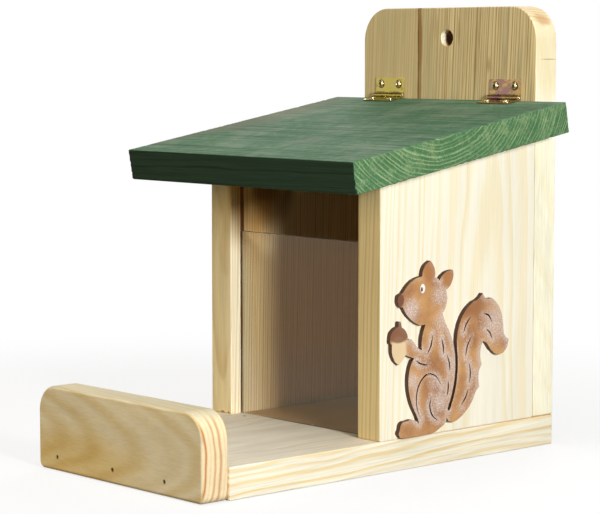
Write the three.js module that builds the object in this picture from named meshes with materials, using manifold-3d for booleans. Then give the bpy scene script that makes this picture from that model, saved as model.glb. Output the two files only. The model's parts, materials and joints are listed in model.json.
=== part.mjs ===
// Squirrel feeder box in pine board.
//
// A base board carries two side walls and a tall back board, and a low rail is nailed
// across the base's front end, so the front of the base is a tray to sit on.
// A clear window stands in grooves in the side walls. A sloping roof board lies on the
// walls as a lid, on two small butt hinges screwed to the back board, and shuts by itself.
// A flat cut-out squirrel is glued to the right wall.
//
// Millimetres. +X is to the right seen from the front, +Y to the back, +Z up.
// The origin is at the bottom centre of the whole feeder.

import * as THREE from 'three';
import { mergeVertices } from 'three/addons/utils/BufferGeometryUtils.js';
import Module from 'manifold-3d';

const wasm = await Module();
wasm.setup();

// Boards
const BOARD_THICKNESS = 18;
const BOX_WIDTH = 146;
const BASE_LENGTH = 255;
const TRAY_DEPTH = 110; // base in front of the side walls
const RAIL_HEIGHT = 48;
const RAIL_CORNER_RADIUS = 15;
const RAIL_FOOT_RADIUS = 4;
const BACK_BOARD_HEIGHT = 244;
const BACK_BOARD_CORNER_RADIUS = 20;
const HANGING_HOLE_DIAMETER = 10.5;
const HANGING_HOLE_DROP = 18.5; // from the back board's top edge to the hole's centre
const WALL_REAR_HEIGHT = 169.7;
const ARRIS = 0.7; // rounding of the boards' long edges
const CORNER_EASE = 1.2; // rounding of the boards' corners, wider than the arris

// Roof board, which is the lid
const ROOF_SLOPE = THREE.MathUtils.degToRad(9.7);
const ROOF_LENGTH = 173;
const ROOF_OVERHANG = 24.5;
const ROOF_BACK_GAP = 0.5;
const LID_REST_GAP = 0.3;

// Window and its grooves
const WINDOW_HEIGHT = 110;
const WINDOW_THICKNESS = 2.4;
const WINDOW_EDGE = 0.3;
const WINDOW_SETBACK = 7.5; // from the walls' front edges to the grooves
const WINDOW_CLEARANCE = 0.3;
const GROOVE_DEPTH = 5;

// Butt hinges of rolled sheet
const HINGE_LENGTH = 25;
const HINGE_INSET = 24; // from each side of the box to its hinge's middle
const LEAF_REACH = 10.8; // from the pin's axis to the leaf's far edge
const LEAF_THICKNESS = 0.7;
const LEAF_CORNER_RADIUS = 0.8;
const LEAF_SEAT_GAP = 0.3;
const PIN_RADIUS = 0.75;
const PIN_CLEARANCE = 0.22;
const PIN_OVERHANG = 0.4; // each end stands out of the knuckles by this
const KNUCKLE_GAP = 0.35;
const KNUCKLE_WIDTH_SHARES = [0.3, 0.19, 0.32, 0.19]; // left to right, roof leaf first

// Domed screws of the hinges
const SCREW_SPACING = 15.4;
const SCREW_REACH = 6.9; // from the pin's axis to the screws
const SCREW_HEAD_RADIUS = 2.35;
const SCREW_HEAD_HEIGHT = 0.95;
const SCREW_RIM = 0.2;
const SCREW_SHANK_RADIUS = 1.1;
const SCREW_LENGTH = 12;
const SCREW_POINT = 2.4;
const SCREW_CLEARANCE = 0.3;

// Nails, set a little below the wood
const NAIL_LENGTH = 42;
const NAIL_SHANK_RADIUS = 0.7;
const NAIL_HEAD_RADIUS = 0.95;
const NAIL_HEAD_THICKNESS = 0.8;
const NAIL_POINT = 2;
const NAIL_SET = 0.7;
const NAIL_CLEARANCE = 0.2;
const RAIL_NAIL_HEIGHT = 8;
const RAIL_NAIL_SHARES = [-0.38, -0.03, 0.28]; // of the box's width, from its middle
const BACK_NAIL_SHARES = [-0.3, 0, 0.3];
const WALL_NAIL_SHARES = [0.22, 0.78]; // of the wall's depth or height, from its start

// Squirrel cut-out
const FIGURE_WIDTH = 97;
const FIGURE_HEIGHT = 99;
const FIGURE_THICKNESS = 3;
const FIGURE_SETBACK = 5; // from the wall's front edge
const FIGURE_FOOT_GAP = 0.8; // above the base board
const STROKE_WIDTH = 1;

// Fineness of the facets
const CHORD_ERROR = 0.05;
const ARRIS_STEPS = 2;
const FIGURE_CURVE_STEPS = 4; // for each point of a run
const STROKE_STEPS = 3; // for each point of a stroke after its first
const OVERRUN = 1; // how far a cutter runs past what it cuts

// Places worked out from the sizes
const FRONT_Y = -(BASE_LENGTH + BOARD_THICKNESS) / 2;
const BASE_FRONT_Y = FRONT_Y + BOARD_THICKNESS;
const BASE_REAR_Y = BASE_FRONT_Y + BASE_LENGTH;
const BACK_FACE_Y = BASE_REAR_Y - BOARD_THICKNESS;
const WALL_FRONT_Y = BASE_FRONT_Y + TRAY_DEPTH;
const WALL_DEPTH = BACK_FACE_Y - WALL_FRONT_Y;
const WALL_REAR_TOP = BOARD_THICKNESS + WALL_REAR_HEIGHT;
const BACK_BOARD_TOP = BOARD_THICKNESS + BACK_BOARD_HEIGHT;
const HALF_WIDTH = BOX_WIDTH / 2;
const INNER_HALF_WIDTH = HALF_WIDTH - BOARD_THICKNESS;
const WALL_MIDDLE_X = HALF_WIDTH - BOARD_THICKNESS / 2;
const GROOVE_WIDTH = WINDOW_THICKNESS + 2 * WINDOW_CLEARANCE;
const GROOVE_FRONT_Y = WALL_FRONT_Y + WINDOW_SETBACK;
const BORE_RADIUS = PIN_RADIUS + PIN_CLEARANCE;
const BARREL_RADIUS = BORE_RADIUS + LEAF_THICKNESS;
const AXIS_Y = BACK_FACE_Y - BARREL_RADIUS;
const ROOF_TOP_OFFSET = BARREL_RADIUS + LEAF_SEAT_GAP; // from the axis down to the roof's top
const AXIS_Z = WALL_REAR_TOP - BARREL_RADIUS * Math.tan(ROOF_SLOPE)
  + (ROOF_TOP_OFFSET + BOARD_THICKNESS + LID_REST_GAP) / Math.cos(ROOF_SLOPE);

// Outline of the squirrel in shares of its width and height: smooth runs, with a corner
// where one run meets the next, from the nose over the head, down the back, round the tail,
// along the foot, and up the belly past the paw and the acorn.
const FIGURE_START_SHARES = [0.062, 0.79];
const FIGURE_RUN_SHARES = [
  [[0.07, 0.816], [0.1, 0.83]],
  [[0.145, 0.874], [0.198, 0.904], [0.258, 0.916]],
  [[0.266, 0.95], [0.288, 0.98], [0.326, 1]],
  [[0.352, 0.97], [0.366, 0.935], [0.364, 0.902]],
  [[0.384, 0.896], [0.402, 0.882]],
  [[0.424, 0.908], [0.466, 0.93], [0.514, 0.936]],
  [[0.518, 0.9], [0.498, 0.855], [0.458, 0.82]],
  [[0.468, 0.775], [0.456, 0.728], [0.43, 0.69]],
  [[0.45, 0.64], [0.488, 0.58], [0.522, 0.505], [0.538, 0.41], [0.534, 0.31], [0.51, 0.215],
    [0.476, 0.135]],
  [[0.482, 0.12], [0.495, 0.126]],
  [[0.532, 0.21], [0.555, 0.31], [0.56, 0.41], [0.552, 0.485], [0.556, 0.565], [0.584, 0.64],
    [0.632, 0.7], [0.69, 0.738]],
  [[0.73, 0.75], [0.772, 0.782]],
  [[0.798, 0.75], [0.852, 0.748]],
  [[0.903, 0.708], [0.937, 0.65], [0.95, 0.59], [0.956, 0.535]],
  [[0.974, 0.508], [1, 0.494]],
  [[0.987, 0.447], [0.947, 0.414], [0.893, 0.412], [0.845, 0.442], [0.806, 0.486], [0.776, 0.5]],
  [[0.757, 0.462], [0.752, 0.41], [0.766, 0.364]],
  [[0.744, 0.33], [0.738, 0.282], [0.746, 0.234]],
  [[0.714, 0.206], [0.686, 0.155], [0.64, 0.108], [0.588, 0.072], [0.535, 0.05], [0.488, 0.056]],
  [[0.47, 0.078]],
  [[0.45, 0.045], [0.412, 0.026]],
  [[0.36, 0.004], [0.29, 0], [0.2, 0], [0.122, 0]],
  [[0.088, 0.006], [0.072, 0.028], [0.082, 0.052]],
  [[0.088, 0.078], [0.11, 0.094], [0.14, 0.096]],
  [[0.178, 0.1], [0.212, 0.09], [0.238, 0.07]],
  [[0.222, 0.112], [0.182, 0.18], [0.154, 0.262], [0.15, 0.345], [0.167, 0.412], [0.194, 0.452]],
  [[0.165, 0.46], [0.126, 0.476]],
  [[0.1, 0.447], [0.07, 0.424]],
  [[0.038, 0.448], [0.016, 0.494], [0.014, 0.545]],
  [[0, 0.558], [0.01, 0.606], [0.042, 0.634], [0.066, 0.641]],
  [[0.07, 0.666], [0.086, 0.67]],
  [[0.092, 0.638]],
  [[0.124, 0.615], [0.142, 0.58], [0.138, 0.56]],
  [[0.16, 0.566], [0.184, 0.552], [0.222, 0.512], [0.258, 0.49]],
  [[0.256, 0.54], [0.268, 0.595], [0.288, 0.638]],
  [[0.238, 0.638], [0.182, 0.664], [0.132, 0.705], [0.1, 0.75]],
  [[0.078, 0.753], [0.066, 0.768], FIGURE_START_SHARES],
];

// Strokes cut through the squirrel: haunch, knee, arm, shoulder, back, tail and curl.
const FIGURE_STROKE_SHARES = [
  [[0.252, 0.098], [0.216, 0.18], [0.228, 0.28], [0.296, 0.348], [0.378, 0.33], [0.428, 0.262]],
  [[0.342, 0.226], [0.326, 0.165], [0.348, 0.106], [0.4, 0.07]],
  [[0.21, 0.438], [0.256, 0.412], [0.316, 0.402]],
  [[0.3, 0.462], [0.334, 0.515], [0.348, 0.58]],
  [[0.42, 0.55], [0.436, 0.5], [0.438, 0.45]],
  [[0.466, 0.45], [0.488, 0.4], [0.494, 0.345]],
  [[0.478, 0.3], [0.48, 0.25], [0.468, 0.205]],
  [[0.606, 0.56], [0.63, 0.612], [0.672, 0.654]],
  [[0.626, 0.42], [0.64, 0.482], [0.678, 0.54]],
  [[0.66, 0.262], [0.668, 0.325], [0.656, 0.385]],
  [[0.59, 0.14], [0.628, 0.182], [0.652, 0.232]],
  [[0.766, 0.66], [0.822, 0.65], [0.856, 0.6]],
  [[0.8, 0.57], [0.834, 0.546], [0.856, 0.505]],
];

const PINE = new THREE.Color('#d8c49a');
const STAINED_PINE = new THREE.Color('#4f7a58');
const BROWN_WOOD = new THREE.Color('#a87f5b');
const ACRYLIC = new THREE.Color('#dfe6e6');
const YELLOW_ZINC = new THREE.Color('#c2a14d');
const BRIGHT_STEEL = new THREE.Color('#b9b9b6');

function pine() {
  return new THREE.MeshStandardMaterial({ color: PINE, roughness: 0.7, metalness: 0 });
}

function stainedPine() {
  return new THREE.MeshStandardMaterial({ color: STAINED_PINE, roughness: 0.75, metalness: 0 });
}

function brownWood() {
  return new THREE.MeshStandardMaterial({ color: BROWN_WOOD, roughness: 0.7, metalness: 0 });
}

function acrylic() {
  return new THREE.MeshStandardMaterial({
    color: ACRYLIC, roughness: 0.05, metalness: 0, transparent: true, opacity: 0.3,
  });
}

function yellowZinc() {
  return new THREE.MeshStandardMaterial({ color: YELLOW_ZINC, roughness: 0.35, metalness: 1 });
}

function brightSteel() {
  return new THREE.MeshStandardMaterial({ color: BRIGHT_STEEL, roughness: 0.3, metalness: 1 });
}

// Facets in a quarter circle, so that no chord strays from its arc by more than CHORD_ERROR.
function quarterSteps(radius) {
  const chord = 2 * Math.acos(1 - Math.min(CHORD_ERROR / radius, 1));
  return Math.max(2, Math.ceil(Math.PI / 2 / chord));
}

function circleSteps(radius) {
  return 4 * quarterSteps(radius);
}

// A closed geometry as a solid for joining and cutting.
function solidOf(geometry) {
  const bare = geometry.clone();
  bare.deleteAttribute('normal');
  bare.deleteAttribute('uv');
  const merged = mergeVertices(bare);
  return new wasm.Manifold(new wasm.Mesh({
    numProp: 3,
    vertProperties: merged.attributes.position.array,
    triVerts: new Uint32Array(merged.index.array),
  }));
}

// The geometry of a joined or cut solid.
function geometryOf(solid) {
  const { vertProperties, triVerts } = solid.getMesh();
  const indexed = new THREE.BufferGeometry();
  indexed.setAttribute('position', new THREE.BufferAttribute(vertProperties, 3));
  indexed.setIndex(new THREE.BufferAttribute(triVerts, 1));
  const geometry = indexed.toNonIndexed();
  geometry.computeVertexNormals();
  return geometry;
}

function joined(geometries) {
  return geometryOf(geometries.map(solidOf).reduce((whole, piece) => whole.add(piece)));
}

function without(geometry, cutters) {
  const cut = cutters.map(solidOf).reduce((rest, cutter) => rest.subtract(cutter), solidOf(geometry));
  return geometryOf(cut);
}

// Cuts a placed mesh with cutters that are given in its parent's frame.
function drill(mesh, cutters) {
  mesh.updateMatrix();
  const toMesh = mesh.matrix.clone().invert();
  mesh.geometry = without(mesh.geometry, cutters.map((cutter) => cutter.clone().applyMatrix4(toMesh)));
  return mesh;
}

function named(name, geometry, material) {
  const mesh = new THREE.Mesh(geometry, material);
  mesh.name = name;
  return mesh;
}

// A shape drawn in Y and Z and extruded along X.
function alongX(geometry) {
  const turn = new THREE.Matrix4().makeBasis(
    new THREE.Vector3(0, 1, 0),
    new THREE.Vector3(0, 0, 1),
    new THREE.Vector3(1, 0, 0),
  );
  return geometry.applyMatrix4(turn);
}

// A shape drawn in X and Z and extruded along -Y.
function alongMinusY(geometry) {
  return geometry.rotateX(Math.PI / 2);
}

// A convex outline with round corners. Each corner is [x, y, radius], counterclockwise.
function roundedOutline(corners) {
  const points = corners.flatMap(([x, y, radius], i) => {
    const corner = new THREE.Vector2(x, y);
    const before = new THREE.Vector2(...corners.at(i - 1)).sub(corner).normalize();
    const after = new THREE.Vector2(...corners[(i + 1) % corners.length]).sub(corner).normalize();
    const halfAngle = Math.acos(before.dot(after)) / 2;
    const centre = before.clone().add(after).setLength(radius / Math.sin(halfAngle)).add(corner);
    const start = Math.atan2(before.x, -before.y);
    const sweep = Math.PI - 2 * halfAngle;
    const steps = quarterSteps(radius);
    return Array.from({ length: steps + 1 }, (_, step) => {
      const angle = start + (sweep * step) / steps;
      return new THREE.Vector2(Math.cos(angle), Math.sin(angle)).multiplyScalar(radius).add(centre);
    });
  });
  return new THREE.Shape(points);
}

// A flat plate of an outline, from z = 0 up, with its face edges rounded.
function plate(shape, thickness, arris) {
  return new THREE.ExtrudeGeometry(shape, {
    depth: thickness - 2 * arris,
    steps: 1,
    bevelEnabled: arris > 0,
    bevelThickness: arris,
    bevelSize: arris,
    bevelOffset: -arris,
    bevelSegments: ARRIS_STEPS,
  }).translate(0, 0, arris);
}

function board(corners) {
  return plate(roundedOutline(corners), BOARD_THICKNESS, ARRIS);
}

// A turned body about +Y, from a profile of [radius, height] that rises from the axis and back.
function turned(profile, radius) {
  const points = profile.map(([r, y]) => new THREE.Vector2(r, y));
  return new THREE.LatheGeometry(points, circleSteps(radius));
}

// Turns a body that runs along +Y so that it starts at a point and runs along a direction.
function driven(geometry, { start, direction }) {
  const turn = new THREE.Quaternion().setFromUnitVectors(new THREE.Vector3(0, 1, 0), direction);
  return geometry.applyQuaternion(turn).translate(start.x, start.y, start.z);
}

// Nails
function nailGeometry() {
  return turned([
    [0, 0],
    [NAIL_HEAD_RADIUS, 0],
    [NAIL_HEAD_RADIUS, NAIL_HEAD_THICKNESS / 2],
    [NAIL_SHANK_RADIUS, NAIL_HEAD_THICKNESS],
    [NAIL_SHANK_RADIUS, NAIL_LENGTH - NAIL_POINT],
    [0, NAIL_LENGTH],
  ], NAIL_HEAD_RADIUS);
}

function nailBore() {
  const mouth = NAIL_HEAD_RADIUS + NAIL_CLEARANCE;
  const bore = NAIL_SHANK_RADIUS + NAIL_CLEARANCE;
  const step = NAIL_HEAD_THICKNESS + NAIL_CLEARANCE;
  const end = NAIL_LENGTH + NAIL_CLEARANCE;
  return turned([
    [0, -NAIL_SET - OVERRUN],
    [mouth, -NAIL_SET - OVERRUN],
    [mouth, step],
    [bore, step],
    [bore, end],
    [0, end],
  ], mouth);
}

// A nail's place: its name, the point where its head rests and the way it was driven.
function nailPlace(name, surface, direction) {
  return { name, direction, start: surface.clone().addScaledVector(direction, NAIL_SET) };
}

function nailMesh(place) {
  return named(place.name, driven(nailGeometry(), place), brightSteel());
}

function nailBores(places) {
  return places.map((place) => driven(nailBore(), place));
}

const INWARD = new THREE.Vector3(0, 1, 0);
const FORWARD = new THREE.Vector3(0, -1, 0);
const UPWARD = new THREE.Vector3(0, 0, 1);

function railNails() {
  return RAIL_NAIL_SHARES.map((share, i) => nailPlace(
    `front_rail_nail_${i + 1}`,
    new THREE.Vector3(share * BOX_WIDTH, FRONT_Y, RAIL_NAIL_HEIGHT),
    INWARD,
  ));
}

function backBoardNails() {
  return BACK_NAIL_SHARES.map((share, i) => nailPlace(
    `back_board_nail_${i + 1}`,
    new THREE.Vector3(share * BOX_WIDTH, BASE_REAR_Y - BOARD_THICKNESS / 2, 0),
    UPWARD,
  ));
}

function wallBaseNails(side, sign) {
  return WALL_NAIL_SHARES.map((share, i) => nailPlace(
    `${side}_wall_base_nail_${i + 1}`,
    new THREE.Vector3(sign * WALL_MIDDLE_X, WALL_FRONT_Y + share * WALL_DEPTH, 0),
    UPWARD,
  ));
}

function wallBackNails(side, sign) {
  return WALL_NAIL_SHARES.map((share, i) => nailPlace(
    `${side}_wall_back_nail_${i + 1}`,
    new THREE.Vector3(sign * WALL_MIDDLE_X, BASE_REAR_Y, BOARD_THICKNESS + share * WALL_REAR_HEIGHT),
    FORWARD,
  ));
}

// Boards
function baseBoard(nails) {
  const mesh = named('base_board', board([
    [-HALF_WIDTH, BASE_FRONT_Y, CORNER_EASE],
    [HALF_WIDTH, BASE_FRONT_Y, CORNER_EASE],
    [HALF_WIDTH, BASE_REAR_Y, CORNER_EASE],
    [-HALF_WIDTH, BASE_REAR_Y, CORNER_EASE],
  ]), pine());
  return drill(mesh, nailBores(nails));
}

function frontRail(nails) {
  const mesh = named('front_rail', alongMinusY(board([
    [-HALF_WIDTH, 0, RAIL_FOOT_RADIUS],
    [HALF_WIDTH, 0, RAIL_FOOT_RADIUS],
    [HALF_WIDTH, RAIL_HEIGHT, RAIL_CORNER_RADIUS],
    [-HALF_WIDTH, RAIL_HEIGHT, RAIL_CORNER_RADIUS],
  ])), pine());
  mesh.position.y = BASE_FRONT_Y;
  return drill(mesh, nailBores(nails));
}

function hangingHole() {
  const radius = HANGING_HOLE_DIAMETER / 2;
  const length = BOARD_THICKNESS + 2 * OVERRUN;
  return new THREE.CylinderGeometry(radius, radius, length, circleSteps(radius))
    .translate(0, BASE_REAR_Y - BOARD_THICKNESS / 2, BACK_BOARD_TOP - HANGING_HOLE_DROP);
}

function backBoard(nails, screwBores) {
  const mesh = named('back_board', alongMinusY(board([
    [-HALF_WIDTH, 0, CORNER_EASE],
    [HALF_WIDTH, 0, CORNER_EASE],
    [HALF_WIDTH, BACK_BOARD_HEIGHT, BACK_BOARD_CORNER_RADIUS],
    [-HALF_WIDTH, BACK_BOARD_HEIGHT, BACK_BOARD_CORNER_RADIUS],
  ])), pine());
  mesh.position.set(0, BASE_REAR_Y, BOARD_THICKNESS);
  return drill(mesh, [...nailBores(nails), ...screwBores, hangingHole()]);
}

function wallGroove(sign) {
  const width = GROOVE_DEPTH + OVERRUN;
  const height = WALL_REAR_HEIGHT + 2 * OVERRUN;
  return new THREE.BoxGeometry(width, GROOVE_WIDTH, height).translate(
    sign * (INNER_HALF_WIDTH - OVERRUN + width / 2),
    GROOVE_FRONT_Y + GROOVE_WIDTH / 2,
    BOARD_THICKNESS - OVERRUN + height / 2,
  );
}

function sideWall(side, sign, nails) {
  const frontHeight = WALL_REAR_HEIGHT - WALL_DEPTH * Math.tan(ROOF_SLOPE);
  const mesh = named(`${side}_side_wall`, alongX(board([
    [0, 0, CORNER_EASE],
    [WALL_DEPTH, 0, CORNER_EASE],
    [WALL_DEPTH, WALL_REAR_HEIGHT, CORNER_EASE],
    [0, frontHeight, CORNER_EASE],
  ])), pine());
  mesh.position.set(sign * WALL_MIDDLE_X - BOARD_THICKNESS / 2, WALL_FRONT_Y, BOARD_THICKNESS);
  return drill(mesh, [...nailBores(nails), wallGroove(sign)]);
}

// The pane stands in the walls' grooves, just clear of the base, and slides up out of them.
function frontWindow() {
  const halfWidth = INNER_HALF_WIDTH + GROOVE_DEPTH - WINDOW_CLEARANCE;
  const mesh = named('front_window', alongMinusY(plate(roundedOutline([
    [-halfWidth, 0, 2 * WINDOW_EDGE],
    [halfWidth, 0, 2 * WINDOW_EDGE],
    [halfWidth, WINDOW_HEIGHT, 2 * WINDOW_EDGE],
    [-halfWidth, WINDOW_HEIGHT, 2 * WINDOW_EDGE],
  ]), WINDOW_THICKNESS, WINDOW_EDGE)), acrylic());
  mesh.position.set(
    0,
    GROOVE_FRONT_Y + WINDOW_CLEARANCE + WINDOW_THICKNESS,
    BOARD_THICKNESS + WINDOW_CLEARANCE,
  );
  return mesh;
}

// Hinges. A leaf is drawn with the pin's axis along X at the origin, its plate reaching along
// +Y and its back, the side that lies on the wood, facing -Z.
function knuckleShape() {
  const plateTop = LEAF_THICKNESS - BARREL_RADIUS;
  const plateStart = BARREL_RADIUS + KNUCKLE_GAP;
  const meet = Math.asin(plateTop / BARREL_RADIUS);
  const steps = circleSteps(BARREL_RADIUS);
  const sweep = 1.5 * Math.PI - meet;
  const shape = new THREE.Shape();
  shape.moveTo(0, -BARREL_RADIUS);
  shape.lineTo(plateStart + LEAF_THICKNESS, -BARREL_RADIUS);
  shape.lineTo(plateStart + LEAF_THICKNESS, plateTop);
  for (let step = 0; step < steps; step += 1) {
    const angle = meet + (sweep * step) / steps;
    shape.lineTo(BARREL_RADIUS * Math.cos(angle), BARREL_RADIUS * Math.sin(angle));
  }
  const bore = new THREE.Path();
  for (let step = 0; step < steps; step += 1) {
    const angle = (-2 * Math.PI * step) / steps;
    const point = [BORE_RADIUS * Math.cos(angle), BORE_RADIUS * Math.sin(angle)];
    if (step === 0) bore.moveTo(...point);
    else bore.lineTo(...point);
  }
  bore.closePath();
  shape.holes.push(bore);
  return shape;
}

function knuckle([from, to]) {
  const geometry = new THREE.ExtrudeGeometry(knuckleShape(), { depth: to - from, bevelEnabled: false });
  return alongX(geometry).translate(from, 0, 0);
}

// Spans of every second knuckle along the hinge, from the first or the second one.
function knuckleSpans(first) {
  const ends = [-HINGE_LENGTH / 2];
  KNUCKLE_WIDTH_SHARES.forEach((share) => ends.push(ends.at(-1) + share * HINGE_LENGTH));
  return KNUCKLE_WIDTH_SHARES
    .map((_, i) => [ends[i] + KNUCKLE_GAP / 2, ends[i + 1] - KNUCKLE_GAP / 2])
    .filter((_, i) => i % 2 === first);
}

function leafPlate() {
  const start = BARREL_RADIUS + KNUCKLE_GAP;
  const half = HINGE_LENGTH / 2;
  const shape = roundedOutline([
    [-half, start, LEAF_CORNER_RADIUS / 2],
    [half, start, LEAF_CORNER_RADIUS / 2],
    [half, LEAF_REACH, LEAF_CORNER_RADIUS],
    [-half, LEAF_REACH, LEAF_CORNER_RADIUS],
  ]);
  return plate(shape, LEAF_THICKNESS, 0).translate(0, 0, -BARREL_RADIUS);
}

// The two screws of a leaf, in the leaf's frame, driven into the wood behind it.
function leafScrewPlaces() {
  const height = LEAF_THICKNESS - BARREL_RADIUS + LEAF_SEAT_GAP;
  return [-1, 1].map((sign) => ({
    start: new THREE.Vector3((sign * SCREW_SPACING) / 2, SCREW_REACH, height),
    direction: new THREE.Vector3(0, 0, -1),
  }));
}

function leafGeometry(spans) {
  const bores = leafScrewPlaces().map((place) => driven(screwBore(), place));
  return without(joined([leafPlate(), ...spans.map(knuckle)]), bores);
}

function screwGeometry() {
  const cap = [0, 0.35, 0.65, 0.88].map((share) => [
    SCREW_HEAD_RADIUS * Math.sqrt(1 - (1 - share) ** 2),
    -SCREW_RIM - (SCREW_HEAD_HEIGHT - SCREW_RIM) * (1 - share),
  ]);
  return turned([
    ...cap,
    [SCREW_HEAD_RADIUS, -SCREW_RIM],
    [SCREW_HEAD_RADIUS, 0],
    [SCREW_SHANK_RADIUS, 0],
    [SCREW_SHANK_RADIUS, SCREW_LENGTH - SCREW_POINT],
    [0, SCREW_LENGTH],
  ], SCREW_SHANK_RADIUS);
}

function screwBore() {
  const radius = SCREW_SHANK_RADIUS + SCREW_CLEARANCE;
  const end = SCREW_LENGTH + SCREW_CLEARANCE;
  return turned([[0, -OVERRUN], [radius, -OVERRUN], [radius, end], [0, end]], radius);
}

function pinGeometry() {
  const half = HINGE_LENGTH / 2 + PIN_OVERHANG;
  const ease = PIN_OVERHANG / 2;
  return turned([
    [0, -half],
    [PIN_RADIUS - ease, -half],
    [PIN_RADIUS, ease - half],
    [PIN_RADIUS, half - ease],
    [PIN_RADIUS - ease, half],
    [0, half],
  ], BARREL_RADIUS).rotateZ(-Math.PI / 2);
}

// A frame for a leaf at a hinge's place along X, inside the box's or the lid's frame.
function leafFrame(sign) {
  const frame = new THREE.Group();
  frame.position.x = sign * (HALF_WIDTH - HINGE_INSET);
  return frame;
}

function addScrews(frame, name) {
  leafScrewPlaces().forEach((place, i) => {
    frame.add(named(`${name}_screw_${i + 1}`, driven(screwGeometry(), place), yellowZinc()));
  });
}

// The wall leaf stands up along the back board and carries the pin.
function wallLeafFrame(side, sign) {
  const frame = leafFrame(sign);
  frame.position.y = AXIS_Y;
  frame.position.z = AXIS_Z;
  frame.rotation.x = Math.PI / 2;
  frame.add(named(`${side}_hinge_wall_leaf`, leafGeometry(knuckleSpans(1)), yellowZinc()));
  frame.add(named(`${side}_hinge_pin`, pinGeometry(), brightSteel()));
  addScrews(frame, `${side}_hinge_wall`);
  return frame;
}

// The roof leaf lies along the roof, turned round, so its knuckles count from the other end.
function roofLeafFrame(side, sign) {
  const frame = leafFrame(sign);
  const spans = knuckleSpans(0).map(([from, to]) => [-to, -from]);
  frame.rotation.z = Math.PI;
  frame.add(named(`${side}_hinge_roof_leaf`, leafGeometry(spans), yellowZinc()));
  addScrews(frame, `${side}_hinge_roof`);
  return frame;
}

// Bores for a leaf's screws, in the frame that the leaf's frame stands in.
function screwBores(frame) {
  frame.updateMatrix();
  return leafScrewPlaces().map((place) => driven(screwBore(), place).applyMatrix4(frame.matrix));
}

// The lid. Its frame has its origin on the hinges' axis and slopes with the roof.
function roofBoard(leafFrames) {
  const halfWidth = HALF_WIDTH + ROOF_OVERHANG;
  const top = -ROOF_TOP_OFFSET;
  const bottom = top - BOARD_THICKNESS;
  const rearY = (z) => (BARREL_RADIUS - ROOF_BACK_GAP + z * Math.sin(ROOF_SLOPE)) / Math.cos(ROOF_SLOPE);
  const frontY = rearY(top) - ROOF_LENGTH;
  const corners = [
    [frontY, bottom],
    [rearY(bottom), bottom],
    [rearY(top), top],
    [frontY, top],
  ];
  const profile = roundedOutline(corners.map(([y, z]) => [y, z, CORNER_EASE]));
  const geometry = alongX(plate(profile, 2 * halfWidth, ARRIS)).translate(-halfWidth, 0, 0);
  return drill(named('roof_board', geometry, stainedPine()), leafFrames.flatMap(screwBores));
}

function lid() {
  const frame = new THREE.Group();
  const leaves = [roofLeafFrame('left', -1), roofLeafFrame('right', 1)];
  frame.position.set(0, AXIS_Y, AXIS_Z);
  frame.rotation.x = ROOF_SLOPE;
  frame.add(roofBoard(leaves), ...leaves);
  return frame;
}

// Squirrel cut-out
function figurePoint([acrossShare, upShare]) {
  return new THREE.Vector2(acrossShare * FIGURE_WIDTH, upShare * FIGURE_HEIGHT);
}

// A slot along a curve, widest in its middle and closed to a point at both ends.
function strokeHole(shares) {
  const curve = new THREE.SplineCurve(shares.map(figurePoint));
  const steps = STROKE_STEPS * (shares.length - 1);
  const sides = [[], []];
  for (let step = 0; step <= steps; step += 1) {
    const at = step / steps;
    const half = (STROKE_WIDTH / 2) * Math.sin(Math.PI * at);
    const along = curve.getTangent(at);
    const across = new THREE.Vector2(-along.y, along.x).multiplyScalar(half);
    const middle = curve.getPoint(at);
    sides[0].push(middle.clone().add(across));
    if (step > 0 && step < steps) sides[1].unshift(middle.clone().sub(across));
  }
  return new THREE.Path(sides.flat());
}

function figureShape() {
  const points = [];
  let corner = FIGURE_START_SHARES;
  for (const run of FIGURE_RUN_SHARES) {
    const curve = new THREE.SplineCurve([corner, ...run].map(figurePoint));
    points.push(...curve.getPoints(FIGURE_CURVE_STEPS * run.length).slice(1));
    corner = run.at(-1);
  }
  const shape = new THREE.Shape(points.reverse());
  shape.holes.push(...FIGURE_STROKE_SHARES.map(strokeHole));
  return shape;
}

function squirrelFigure() {
  const geometry = alongX(plate(figureShape(), FIGURE_THICKNESS, 0));
  const mesh = named('squirrel_figure', geometry, brownWood());
  mesh.position.set(HALF_WIDTH, WALL_FRONT_Y + FIGURE_SETBACK, BOARD_THICKNESS + FIGURE_FOOT_GAP);
  return mesh;
}

// The whole feeder
function feeder() {
  const sides = [['left', -1], ['right', 1]];
  const wallLeaves = sides.map(([side, sign]) => wallLeafFrame(side, sign));
  const nails = {
    rail: railNails(),
    back: backBoardNails(),
    wallBase: sides.map(([side, sign]) => wallBaseNails(side, sign)),
    wallBack: sides.map(([side, sign]) => wallBackNails(side, sign)),
  };
  const box = new THREE.Group();
  box.add(
    baseBoard([...nails.rail, ...nails.back, ...nails.wallBase.flat()]),
    frontRail(nails.rail),
    backBoard([...nails.back, ...nails.wallBack.flat()], wallLeaves.flatMap(screwBores)),
    ...sides.map(([side, sign], i) => sideWall(side, sign, [...nails.wallBase[i], ...nails.wallBack[i]])),
    squirrelFigure(),
    ...wallLeaves,
    ...[...nails.rail, ...nails.back, ...nails.wallBase.flat(), ...nails.wallBack.flat()].map(nailMesh),
  );
  const whole = new THREE.Group();
  whole.add(box, lid(), frontWindow());
  return whole;
}

export default feeder();
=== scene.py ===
"""Looks of the squirrel feeder box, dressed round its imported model.

The places and sizes in this file are millimetres in the feeder's own frame: +X is to the
right, +Y to the back and +Z up. A mesh is scaled to metres once, when its piece is made.
"""

import json
import logging
import math
from collections.abc import Iterable, Sequence
from dataclasses import dataclass, field
from enum import Enum
from typing import Any

import bmesh
import bpy
import numpy as np
from mathutils import Matrix, Vector, noise


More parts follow.
